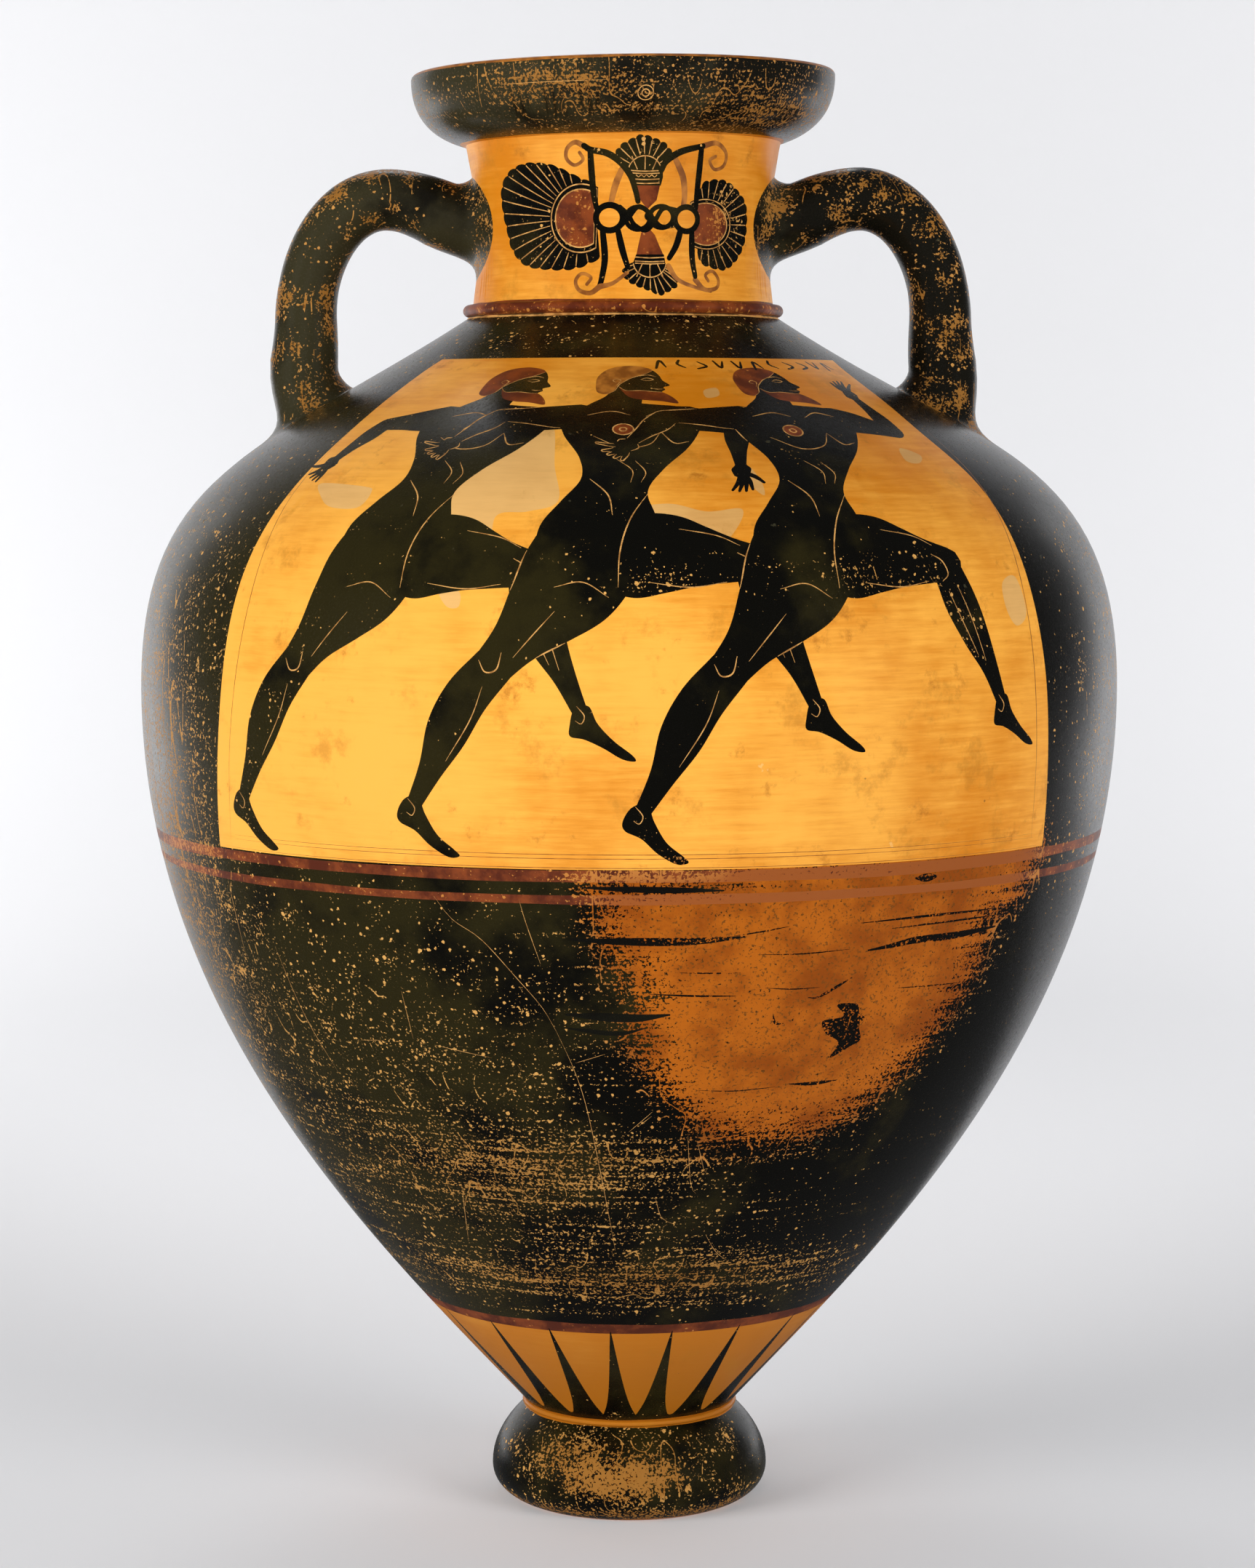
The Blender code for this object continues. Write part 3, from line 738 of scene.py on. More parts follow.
def neck_chain(azimuth, v):
    """The chain, drawn about its middle."""
    def shape(colour, points):
        lay(colour, cm(*points), azimuth, v)

    def stroke(colour, points, half_widths):
        lay(colour, brushed(cm(*points), widths(*half_widths), step=0.8 * MM), azimuth, v)

    def leaves(edge, middle, number, inner):
        """A fan of leaves: its scalloped outline, and the cut lines that part the leaves."""
        drawn = flowing(edge, step=0.05)
        far = np.r_[0, np.cumsum(np.hypot(*np.diff(drawn, axis=0).T))]
        stations = np.linspace(0, 1, number * 7 + 1)
        rim = np.column_stack([np.interp(stations * far[-1], far, drawn[:, i]) for i in (0, 1)])
        swell = 0.11 * np.abs(np.sin(math.pi * number * stations)) ** 0.6 - 0.05
        outward = rim - np.array(middle)
        rim = rim + outward / np.hypot(*outward.T)[:, None] * swell[:, None]
        shape(SLIP, rim)
        for k in range(1, number):
            tip, root = rim[k * 7], np.array(middle)
            reach = np.hypot(*(tip - root))
            first, last = root + (tip - root) * inner(tip - root) / reach, root + (tip - root) * 0.985
            stroke(CUT, (first, (first + last) / 2, last), (0.012, 0.020, 0.024, 0.020))

    def heart_fan(edge, middle, half, first_turn, last_turn, number):
        """A palmette with a rounded heart inside a double ring."""
        def ring_reach(direction):
            return 1.06 / math.hypot(direction[0] / half[0], direction[1] / half[1]) * np.hypot(*direction)

        leaves(edge, middle, number, ring_reach)
        turn = np.radians(np.linspace(first_turn, last_turn, 36))
        for colour, share in ((SLIP, 1.06), (CUT, 1.02), (SLIP, 0.98), (CUT, 0.87), (RED, 0.83)):
            ring = [(half[0] * share * math.cos(a), half[1] * share * math.sin(a)) for a in turn]
            shape(colour, moved(ring, middle))

    heart_fan(left_palmette, (-2.70, -0.08), (1.32, 1.40), 58, 300, 22)
    heart_fan(right_palmette, (2.75, -0.28), (1.30, 1.02), 125, -125, 18)
    for bud, middle, number, calyx, heart, rows in (
        (upper_bud, (-0.03, 1.80), 12, upper_calyx, upper_heart, (1.86, 1.76, 1.52, 1.36)),
        (lower_bud, (0.20, -1.85), 13, lower_calyx, lower_heart, (-1.93, -1.84, -1.68)),
    ):
        shape(RED, heart)
        leaves(bud, middle, number, lambda direction: 0.72)
        shape(SLIP, calyx)
        side = 1 if middle[1] > 0 else -1
        arc = [(0.70 * math.cos(a), side * 0.66 * math.sin(a)) for a in np.linspace(0.15, 3.0, 12)]
        stroke(CUT, moved(arc, middle), (0.02, 0.024, 0.02))
        for share in (-0.45, 0.0, 0.45):
            foot = (middle[0] + share * 0.7, middle[1] + side * 0.10)
            tip = (middle[0] + share * 1.3, middle[1] + side * 0.7)
            stroke(CUT, (foot, between(foot, tip, 0.9)), (0.02, 0.02))
        for level_cm in rows:
            drawn = [(middle[0] + x, level_cm - sag) for x, sag in ((-0.62, 0), (0, 0.03), (0.62, 0))]
            stroke(CUT, drawn, (0.022, 0.022))
    zigzag = [(-0.40 + 0.11 * k, 1.64 + 0.045 * (-1) ** k) for k in range(9)]
    stroke(CUT, zigzag, (0.018, 0.018))
    for colour, half_widths, points in tendrils:
        stroke(colour, points, half_widths)
    for colour, thick, middle, half in loops:
        for code, grown, sides in ((colour, thick, 30), (CLAY, -thick, 26)):
            ring = [(x * (half[0] + grown), y * (half[1] + grown)) for x, y in circle(1, sides)]
            shape(code, moved(ring, middle))
    for drawn in (
        ((-1.05, 0.38), (-0.70, 0.05), (-0.45, -0.35), (0.0, -0.58), (0.35, -0.30), (0.75, 0.30),
         (1.30, 0.28)),
        ((-1.05, -0.45), (-0.70, -0.10), (-0.30, 0.38), (0.10, 0.20), (0.30, -0.05), (0.70, -0.42),
         (1.30, -0.35)),
    ):
        stroke(SLIP, drawn, (0.09, 0.10, 0.09))
    shape(SLIP, moved(circle(0.20), (0.17, 0.0)))


neck_chain(math.radians(8.5), NECK_LEVEL)
neck_chain(math.pi, NECK_LEVEL)

# The back is plainer: two slim columns stand at the sides of the panel, with a round shield that
# leans between two spears.

SHIELD_LEVEL = level_at_height(0.3830)


def back_shape(colour, points):
    lay(colour, cm(*points), BACK, SHIELD_LEVEL)


for side in (-1, 1):
    shaft = [(side * 12.2 + x, y) for x, y in ((-0.80, -8.4), (-0.62, 7.2), (0.62, 7.2), (0.80, -8.4))]
    sides = zip(shaft, shaft[1:] + shaft[:1])
    back_shape(SLIP, [between(a, b, t) for a, b in sides for t in (0, 0.25, 0.5, 0.75)])
    for x, y, half_wide, half_tall in ((0, 7.5, 1.1, 0.28), (0, 8.05, 1.45, 0.22), (0, -8.6, 1.5, 0.30)):
        block = [(i * half_wide, j * half_tall) for i, j in ((-1, -1), (1, -1), (1, 1), (-1, 1))]
        back_shape(SLIP, moved(block, (side * 12.2 + x, y)))
    for groove in (-0.36, 0.0, 0.36):
        drawn = [(side * 12.2 + groove * taper, y) for taper, y in ((1.1, -8.0), (1.0, 0), (0.85, 7.0))]
        lay(CUT, brushed(cm(*drawn), (FINE, FINE), step=6 * MM), BACK, SHIELD_LEVEL)
    spear = cm((side * 1.0, -8.8), (side * 3.6, 0), (side * 6.2, 8.2))
    lay(SLIP, brushed(spear, (0.9 * MM, 0.9 * MM), step=6 * MM), BACK, SHIELD_LEVEL)
    blade = cm((side * 5.95, 7.4), (side * 6.35, 8.7), (side * 6.95, 10.5))
    lay(SLIP, brushed(blade, (0.8 * MM, 4.2 * MM, 0.3 * MM), step=2 * MM), BACK, SHIELD_LEVEL)
shield_rings = ((SLIP, 5.6), (CUT, 5.25), (SLIP, 5.20), (CUT, 4.45), (RED, 4.40), (CUT, 3.75), (SLIP, 3.70))
for colour, radius in shield_rings:
    back_shape(colour, circle(radius, 96))
for k in range(8):
    c, s = math.cos(math.radians(45 * k + 10)), math.sin(math.radians(45 * k + 10))
    petal = ((0.5, 0), (1.5, 0.42), (2.6, 0.50), (3.2, 0), (2.6, -0.50), (1.5, -0.42))
    turned_petal = cm(*((x * c - y * s, x * s + y * c) for x, y in petal))
    lay(RED if k % 2 else CUT, flowing(turned_petal, True, 1.5 * MM), BACK, SHIELD_LEVEL)
back_shape(CUT, circle(0.42, 24))

# In the large worn place under the panel, streaks and a spot of the black are left; and fine
# scratches run over the lower part.

for half_mm, places in (
    (1.6, ((-6.5, 27.14), (-3.6, 27.08), (4.0, 27.04), (9.0, 27.08), (12.9, 27.19))),
    (0.3, ((11.7, 27.23), (14.8, 27.37), (18.0, 27.54))),
    (0.5, ((26.8, 27.52), (35.8, 27.59), (47.4, 27.57))),
    (0.4, ((31.1, 27.20), (38.6, 27.26), (47.8, 27.28))),
    (1.5, ((28.4, 26.37), (31.6, 26.49), (34.9, 26.63), (40.8, 26.65), (48.0, 26.79))),
    (0.25, ((14.6, 26.44), (20.0, 26.40), (26.0, 26.48))),
    (0.3, ((5.7, 25.78), (9.2, 25.74), (12.8, 25.72))),
    (0.4, ((2.2, 24.92), (7.4, 24.82), (12.7, 24.77))),
    (0.25, ((15.9, 25.06), (19.3, 24.96), (22.8, 24.97))),
    (0.3, ((33.5, 24.68), (38.4, 24.62), (44.3, 24.57))),
    (0.6, ((21.5, 24.57), (23.0, 24.59), (26.9, 25.30))),
    (0.8, ((21.3, 20.89), (24.8, 20.84), (28.3, 20.90))),
    (0.25, ((8.7, 20.81), (13.8, 20.72), (19.4, 20.81))),
    (1.6, ((33.3, 29.18), (34.8, 29.17), (36.3, 29.19))),
    (1.2, ((-5.0, 29.20), (0.2, 29.14), (5.0, 29.10), (10.2, 29.06))),
    (1.8, ((-7.5, 24.05), (0.2, 23.92), (4.7, 24.05))),
    (1.0, ((-7.6, 23.48), (-1.5, 23.27), (1.8, 23.49))),
    (0.5, ((17.4, 23.92), (17.8, 23.56), (18.9, 23.54))),
    (0, ((25.6, 24.19), (28.4, 24.15), (29.0, 23.75), (30.0, 23.53), (29.4, 23.23), (30.2, 22.60),
      (28.9, 22.34), (26.3, 21.92), (27.0, 22.56), (24.9, 22.98), (24.0, 23.43), (24.4, 23.57),
      (26.0, 23.61), (26.9, 23.73))),
):
    spot_on(LEFT, places, half_mm)
for places in (
    ((-21.9, 28.7), (-20.0, 27.8), (-16.7, 27.0), (-12.8, 25.4), (-10.3, 24.3), (-8.8, 23.3)),
    ((-8.8, 23.3), (-7.2, 21.9), (-6.0, 20.5), (-5.0, 18.6), (-3.8, 15.9), (-2.6, 13.4)),
    ((-12.1, 28.7), (-11.5, 27.8), (-10.1, 26.1)), ((-28.0, 24.7), (-27.9, 22.7)),
    ((-36.2, 22.4), (-32.8, 22.5)),
    ((-25.0, 22.5), (-17.5, 22.1)), ((-6.8, 22.0), (-3.0, 22.4)),
    ((-46.8, 26.0), (-45.2, 23.2), (-42.8, 20.8)),
    ((-53.3, 28.6), (-53.9, 25.4)), ((-63.6, 27.8), (-63.4, 26.0)),
    ((8.2, 18.8), (9.5, 16.6), (10.6, 16.1)),
    ((9.7, 18.5), (11.4, 17.1)), ((4.1, 16.0), (5.4, 15.0), (7.6, 14.7)), ((1.4, 19.3), (3.0, 19.7)),
    ((13.7, 14.1), (16.6, 13.2), (19.7, 12.7)), ((-0.1, 19.0), (3.1, 19.9)), ((-27.7, 16.2), (-31.7, 13.4)),
):
    spot_on(CUT, places, 0.10, 4 * MM)

# The mouth has a line turned into it, and a pit where a grain of lime burst in the kiln.

spot_on(CUT, [(-34 + 5 * k, 60.75) for k in range(7)], 0.12, 4 * MM)
for colour, radius in ((CUT, 3.4), (WORN, 3.0), (CUT, 1.8), (WORN, 1.3)):
    lay(colour, [(x * MM, y * MM) for x, y in circle(radius, 20)], math.radians(6.2), level_at_height(0.6023))

# THE JAR'S SKIN
# The outer wall is one sheet of small triangles that follows every painted outline, so that paint
# and clay part on clean edges.  The handles' roots are left open in it.

CLEAR = 0.9 * MM
ROOT_POINTS = 48


def wrapped(outline):
    """The same outline, with a copy on the other side where it passes the seam at the back."""
    copies = []
    for shift in (-2 * math.pi, 0, 2 * math.pi):
        moved = outline + np.array((shift, 0))
        if moved[:, 0].max() > -math.pi and moved[:, 0].min() < math.pi:
            copies.append(moved)
    return copies


# The handles are thick rolls, pressed against the neck and the shoulder and smoothed on.

NECK_ROOT_HEIGHT = 0.5520
NECK_ROOT_TALL = 0.0225
NECK_ROOT_WIDE = 0.0315
SHOULDER_ROOT_IN = 0.1165
SHOULDER_ROOT_OUT = 0.1610
SHOULDER_ROOT_WIDE = 0.0225
round_root = np.linspace(0, 2 * math.pi, ROOT_POINTS, endpoint=False)


def level_at_radius(radius):
    """The level on the shoulder at a distance from the axis."""
    start = np.searchsorted(up, level(stretches["shoulder"][0]))
    stop = np.searchsorted(up, COLLAR_START)
    return float(np.interp(-radius, -line[start:stop, 0], up[start:stop]))


neck_root_v = float(np.interp(NECK_ROOT_HEIGHT, height_at(up[up > NECK_START]), up[up > NECK_START]))
shoulder_root_low = level_at_radius(SHOULDER_ROOT_OUT)
shoulder_root_high = level_at_radius(SHOULDER_ROOT_IN)
shoulder_root_v = (shoulder_root_low + shoulder_root_high) / 2
shoulder_root_tall = (shoulder_root_high - shoulder_root_low) / 2


def root_line(side, upper):
    """The outline of a handle's root on the neck or on the shoulder, from its outer side round."""
    if upper:
        wide = NECK_ROOT_WIDE / NECK_RADIUS
        v = neck_root_v + NECK_ROOT_TALL * np.cos(round_root)
    else:
        wide = SHOULDER_ROOT_WIDE / radius_at(shoulder_root_v)
        v = shoulder_root_v - shoulder_root_tall * np.cos(round_root)
    return np.column_stack((side * (math.pi / 2 + wide * np.sin(round_root)), v))


roots = [root_line(side, upper) for side in (-1, 1) for upper in (True, False)]

outlines = []
for colour, outline in painted:
    for copy in wrapped(outline):
        outlines.append((colour, copy))

rows = [0.0]
for name, gap in (
    ("foot_under", 1.6), ("foot", 3.0), ("fillet", 0.7), ("belly", 6.0), ("shoulder", 6.0), ("collar", 0.9),
    ("neck", 3.0), ("mouth", 2.0), ("mouth_edge", 0.7),
):
    stop = level(stretches[name][-1])
    number = max(1, int(round((stop - rows[-1]) / (gap * MM))))
    rows += list(np.linspace(rows[-1], stop, number + 1)[1:])
grid = np.array([(a, v) for v in rows for a in turns_round])

outline_points = np.vstack([outline for _, outline in outlines] + edge_lines + roots)
flat = np.column_stack((outline_points[:, 0] * radius_at(outline_points[:, 1]), outline_points[:, 1]))
tree = kdtree.KDTree(len(flat))
for i, (x, y) in enumerate(flat):
    tree.insert((x, y, 0), i)
tree.balance()
flat_grid = np.column_stack((grid[:, 0] * radius_at(grid[:, 1]), grid[:, 1]))
free = np.array([tree.find((x, y, 0))[2] > CLEAR for x, y in flat_grid])
rim_rows = (grid[:, 1] == 0) | (grid[:, 1] >= TOP - 1e-9)
in_root = np.any([within(grid, root) for root in roots], axis=0)
free = (free | rim_rows) & ~in_root
seam = np.abs(np.abs(grid[:, 0]) - math.pi) < 1e-9
free |= seam

points = [Vector(p) for p in grid[free]]
edges = []


def mark(drawn, closed):
    """Makes the sheet's edges follow a drawn line."""
    first = len(points)
    points.extend(Vector(p) for p in drawn)
    count = len(drawn)
    edges.extend((first + i, first + (i + 1) % count) for i in range(count if closed else count - 1))


def clipped(outline):
    """An outline held inside the sheet, where it passes the seam."""
    held = outline.copy()
    held[:, 0] = np.clip(held[:, 0], -math.pi, math.pi)
    return held


for colour, outline in outlines:
    mark(clipped(outline), True)
for drawn in edge_lines:
    mark(drawn, False)
for root in roots:
    mark(root, True)

places, _, faces, _, _, _ = geometry.delaunay_2d_cdt(points, edges, [], 0, 1e-6)
places = np.array([tuple(p) for p in places])
faces = np.array([tuple(f) for f in faces if len(f) == 3])
middles = places[faces].mean(axis=1)
hole = np.any([within(middles, root) for root in roots], axis=0)
faces, middles = faces[~hole], middles[~hole]
colours = band_colour(middles[:, 0], middles[:, 1])
for colour, outline in outlines:
    colours[within(middles, outline)] = colour
skin_points = on_side(places[:, 0], places[:, 1])

skin = bpy.data.meshes.new("amphora_fired")
skin.from_pydata(skin_points.tolist(), [], faces.tolist())
skin.polygons.foreach_set("material_index", colours.astype(np.int32))
jar = bpy.data.objects.new("amphora_fired", skin)
bpy.context.scene.collection.objects.link(jar)

# THE INSIDE AND THE UNDERSIDE
# Turned with the rest: a funnel of a mouth, a narrow throat, the round hollow of the body, and the
# hollow under the foot that leaves a ring to stand on.  They meet the skin at its two edges.

MOUTH_LIP = 0.0150
NECK_WALL = 0.0070
REST_INNER = 0.0394
HOLLOW_DEPTH = 0.0220
THROAT = NECK_RADIUS - NECK_WALL
MOUTH_INNER = MOUTH_RADIUS - MOUTH_LIP
SEAM_GAP = 0.02 * MM


def thinned(points, gap):
    """Points along a line, about a gap apart."""
    far = np.r_[0, np.cumsum(np.hypot(*np.diff(points, axis=0).T))]
    want = np.linspace(0, far[-1], max(2, int(round(far[-1] / gap)) + 1))
    return np.column_stack((np.interp(want, far, points[:, 0]), np.interp(want, far, points[:, 1])))


def inward(points, depth):
    """A line moved in by a wall's thickness, for a line that runs upwards."""
    along = np.gradient(points, axis=0)
    along /= np.hypot(*along.T)[:, None]
    return points + depth * np.column_stack((-along[:, 1], along[:, 0]))


body_inside = inward(np.vstack((stretches["belly"][::6], stretches["shoulder"][6::6])), WALL)
body_inside = body_inside[(body_inside[:, 0] > THROAT * 0.5) & (body_inside[:, 1] > BODY_BASE + WALL)]
body_inside = thinned(body_inside, 9 * MM)
inside_line = np.vstack((
    [(MOUTH_RADIUS - MOUTH_EDGE, MOUTH_TOP), (MOUTH_INNER + 5 * MM, MOUTH_TOP - 0.2 * MM)],
    bead((MOUTH_INNER + 1.5 * MM, MOUTH_TOP - 1.9 * MM), 1.5 * MM, 90, 180, 4),
    thinned(bend(
        (MOUTH_INNER, MOUTH_TOP - 2.5 * MM), (MOUTH_INNER - 3 * MM, MOUTH_TOP - mouth_tall * 0.6),
        (THROAT + 1 * MM, NECK_TOP + 4 * MM), (THROAT, NECK_TOP - 13 * MM), 60,
    ), 4 * MM),
    thinned(np.array([(THROAT, NECK_TOP - 17 * MM), (THROAT, NECK_BASE + 2 * MM)]), 6 * MM),
    [(THROAT + 3 * MM, NECK_BASE - 4 * MM)],
    body_inside[::-1],
    [(body_inside[0][0] * 0.5, BODY_BASE + WALL + 0.5 * MM), (0, BODY_BASE + WALL)],
))
under_line = np.vstack((
    [(0, HOLLOW_DEPTH)],
    thinned(bend(
        (0.001, HOLLOW_DEPTH), (REST_INNER * 0.5, HOLLOW_DEPTH),
        (REST_INNER * 0.9, HOLLOW_DEPTH * 0.7), (REST_INNER - 1 * MM, 1.5 * MM), 60,
    ), 4 * MM),
    [(REST_INNER, 0), (REST_INNER + 6 * MM, 0), (REST_RADIUS, 0)],
))


def turned(name, points):
    """A surface spun about the upright axis from a line of (radius, height) points."""
    bpy.ops.object.select_all(action="DESELECT")
    mesh = bpy.data.meshes.new(name)
    mesh.from_pydata([(0, -r, z) for r, z in points], [(i, i + 1) for i in range(len(points) - 1)], [])
    piece = bpy.data.objects.new(name, mesh)
    bpy.context.scene.collection.objects.link(piece)
    piece.select_set(True)
    bpy.context.view_layer.objects.active = piece
    bpy.ops.object.mode_set(mode="EDIT")
    bpy.ops.mesh.select_all(action="SELECT")
    bpy.ops.mesh.spin(steps=TURNS, angle=2 * math.pi, center=(0, 0, 0), axis=(0, 0, 1))
    bpy.ops.mesh.select_all(action="SELECT")
    bpy.ops.mesh.remove_doubles(threshold=SEAM_GAP)
    bpy.ops.object.mode_set(mode="OBJECT")
    return piece


inside = turned("amphora_inside", inside_line)
underside = turned("amphora_underside", under_line)

# THE HANDLES
# Each leaves the neck, arches over and stands on the shoulder.  It widens into both along a
# smooth hollow, where the potter's finger drew the soft clay out.

ROOT_RINGS = 10
ROOT_CROWDING = 1.3
LEAST_PULL = 0.5 * MM
SKIN_PULL = 0.75
ROLL_PULL = 0.60
ROLL_STATIONS = (0, 0.15, 0.4, 0.7, 0.85, 1)
ROLL_TALL = np.array((14.6, 13.4, 12.9, 12.9, 13.4, 14.6)) * MM
ROLL_WIDE = np.array((16.5, 14.2, 13.2, 13.0, 13.4, 14.6)) * MM

middle_line = thinned(np.vstack((
    bend((0.0790, 0.5590), (0.0855, 0.5622), (0.0940, 0.5650), (0.1012, 0.5650), 80),
    bend((0.1012, 0.5650), (0.1206, 0.5650), (0.1362, 0.5420), (0.1364, 0.5140), 200)[1:],
    bend((0.1364, 0.5140), (0.1364, 0.5080), (0.1366, 0.5020), (0.1374, 0.4950), 80)[1:],
)), 2.2 * MM)
along_roll = np.gradient(middle_line, axis=0)
along_roll /= np.hypot(*along_roll.T)[:, None]
station = np.linspace(0, 1, len(middle_line))
half_tall = np.interp(station, ROLL_STATIONS, ROLL_TALL)
half_wide = np.interp(station, ROLL_STATIONS, ROLL_WIDE)


def roll_rings(side):
    """The rings of one handle, from the neck's skin to the shoulder's."""
    rings = []
    for place, ahead, tall, wide in zip(middle_line, along_roll, half_tall, half_wide):
        ring = np.empty((ROOT_POINTS, 3))
        ring[:, 0] = side * (place[0] - ahead[1] * tall * np.cos(round_root))
        ring[:, 1] = wide * np.sin(round_root)
        ring[:, 2] = place[1] + ahead[0] * tall * np.cos(round_root)
        rings.append(ring)
    neck_blend = root_blend(side, True, rings[0], along_roll[0])
    shoulder_blend = root_blend(side, False, rings[-1], -along_roll[-1])
    return neck_blend + rings + shoulder_blend[::-1]


def root_blend(side, upper, free_ring, ahead):
    """Rings that sweep from the skin, along it at first, up to a handle's first free ring."""
    root = root_line(side, upper)
    skin_ring = on_side(root[:, 0], root[:, 1])
    nearer = root + (root.mean(axis=0) - root) * 0.05
    inner = on_side(nearer[:, 0], nearer[:, 1]) - skin_ring
    inner /= np.linalg.norm(inner, axis=1)[:, None]
    leaving = np.array((side * ahead[0], 0, ahead[1]))
    gap = free_ring - skin_ring
    first_pull = inner * np.maximum(np.einsum("ij,ij->i", gap, inner), LEAST_PULL)[:, None] * SKIN_PULL
    last_pull = leaving * np.maximum(gap @ leaving, LEAST_PULL)[:, None] * ROLL_PULL
    shares = np.linspace(0, 1, ROOT_RINGS + 1)[:-1] ** ROOT_CROWDING
    return [bend_at(t, skin_ring, skin_ring + first_pull, free_ring - last_pull, free_ring) for t in shares]


handles = []
for side, name in ((-1, "handle_left"), (1, "handle_right")):
    rings = roll_rings(side)
    quads = []
    for i in range(len(rings) - 1):
        for k in range(ROOT_POINTS):
            a, b = i * ROOT_POINTS + k, i * ROOT_POINTS + (k + 1) % ROOT_POINTS
            quads.append((a, b, b + ROOT_POINTS, a + ROOT_POINTS))
    mesh = bpy.data.meshes.new(name)
    mesh.from_pydata(np.vstack(rings).tolist(), [], quads)
    roll = bpy.data.objects.new(name, mesh)
    bpy.context.scene.collection.objects.link(roll)
    handles.append(roll)

# THE CLAY AND THE PAINT
# Fine Attic clay fires bright orange.  The slip is the same clay, settled finer, that the kiln
# turned black and glossy; where it is rubbed or flaked off, the duller body shows through.


def linear(code):
    """A linear colour from an sRGB hex value."""
    parts = [int(code[i:i + 2], 16) / 255 for i in (1, 3, 5)]
    return tuple(c / 12.92 if c <= 0.04045 else ((c + 0.055) / 1.055) ** 2.4 for c in parts) + (1,)


def add(tree, kind, inputs=(), **settings):
    """Adds a node with its settings, and values or links for its inputs."""
    node = tree.nodes.new(kind)
    for name, value in settings.items():
        setattr(node, name, value)
    for name, value in dict(inputs).items():
        if isinstance(value, bpy.types.NodeSocket):
            tree.links.new(value, node.inputs[name])
        else:
            node.inputs[name].default_value = value
    return node


def per_metre(size_mm):
    """A texture's scale for a real size in millimetres."""
    return 1000 / size_mm


def start(name):
    """A new material, with its tree, its shader and the place on the piece."""
    material = bpy.data.materials.new(name)
    material.use_nodes = True
    tree = material.node_tree
    place = add(tree, "ShaderNodeTexCoord").outputs["Object"]
    return material, tree, tree.nodes["Principled BSDF"], place


def total(tree, *parts):
    """The sum of (socket, weight) parts and plain numbers."""
    running = None
    for part in parts:
        if isinstance(part, tuple):
            inputs = {0: part[0], 1: part[1], 2: running if running is not None else 0.0}
            running = add(tree, "ShaderNodeMath", inputs, operation="MULTIPLY_ADD").outputs[0]
        else:
            inputs = {0: running, 1: part}
            running = add(tree, "ShaderNodeMath", inputs, operation="ADD").outputs[0]
    return running


def between_levels(tree, value, low, high):
    """0 below a level, 1 above another, smooth between."""
    inputs = {"Value": value, "From Min": low, "From Max": high}
    return add(tree, "ShaderNodeMapRange", inputs, interpolation_type="SMOOTHSTEP").outputs["Result"]


def blended(tree, share, first, second):
    """One colour over another by a share, each a hex value or a socket."""
    inputs = {"Factor": share}
    for name, colour in (("A", first), ("B", second)):
        inputs[name] = linear(colour) if isinstance(colour, str) else colour
    node = tree.nodes.new("ShaderNodeMix")
    node.data_type = "RGBA"
    for name, value in inputs.items():
        socket = [s for s in node.inputs if s.name == name and s.enabled][0]
        if isinstance(value, bpy.types.NodeSocket):
            tree.links.new(value, socket)
        else:
            socket.default_value = value
    return [s for s in node.outputs if s.enabled][0]


def specks(tree, place, cell_mm, soft, *size):
    """Small spots, at most one to a cell, whose size in cells is partly chance and partly the parts given."""
    cells = add(tree, "ShaderNodeTexVoronoi", {"Vector": place, "Scale": per_metre(cell_mm)})
    chance = add(tree, "ShaderNodeSeparateColor", {"Color": cells.outputs["Color"]}).outputs["Red"]
    room = total(tree, (cells.outputs["Distance"], -1.0), (chance, 0.42), *size)
    return between_levels(tree, room, 0.0, soft)


def joined(tree, *shares):
    """The largest of several shares at each place."""
    largest = shares[0]
    for share in shares[1:]:
        largest = add(tree, "ShaderNodeMath", {0: largest, 1: share}, operation="MAXIMUM").outputs[0]
    return largest


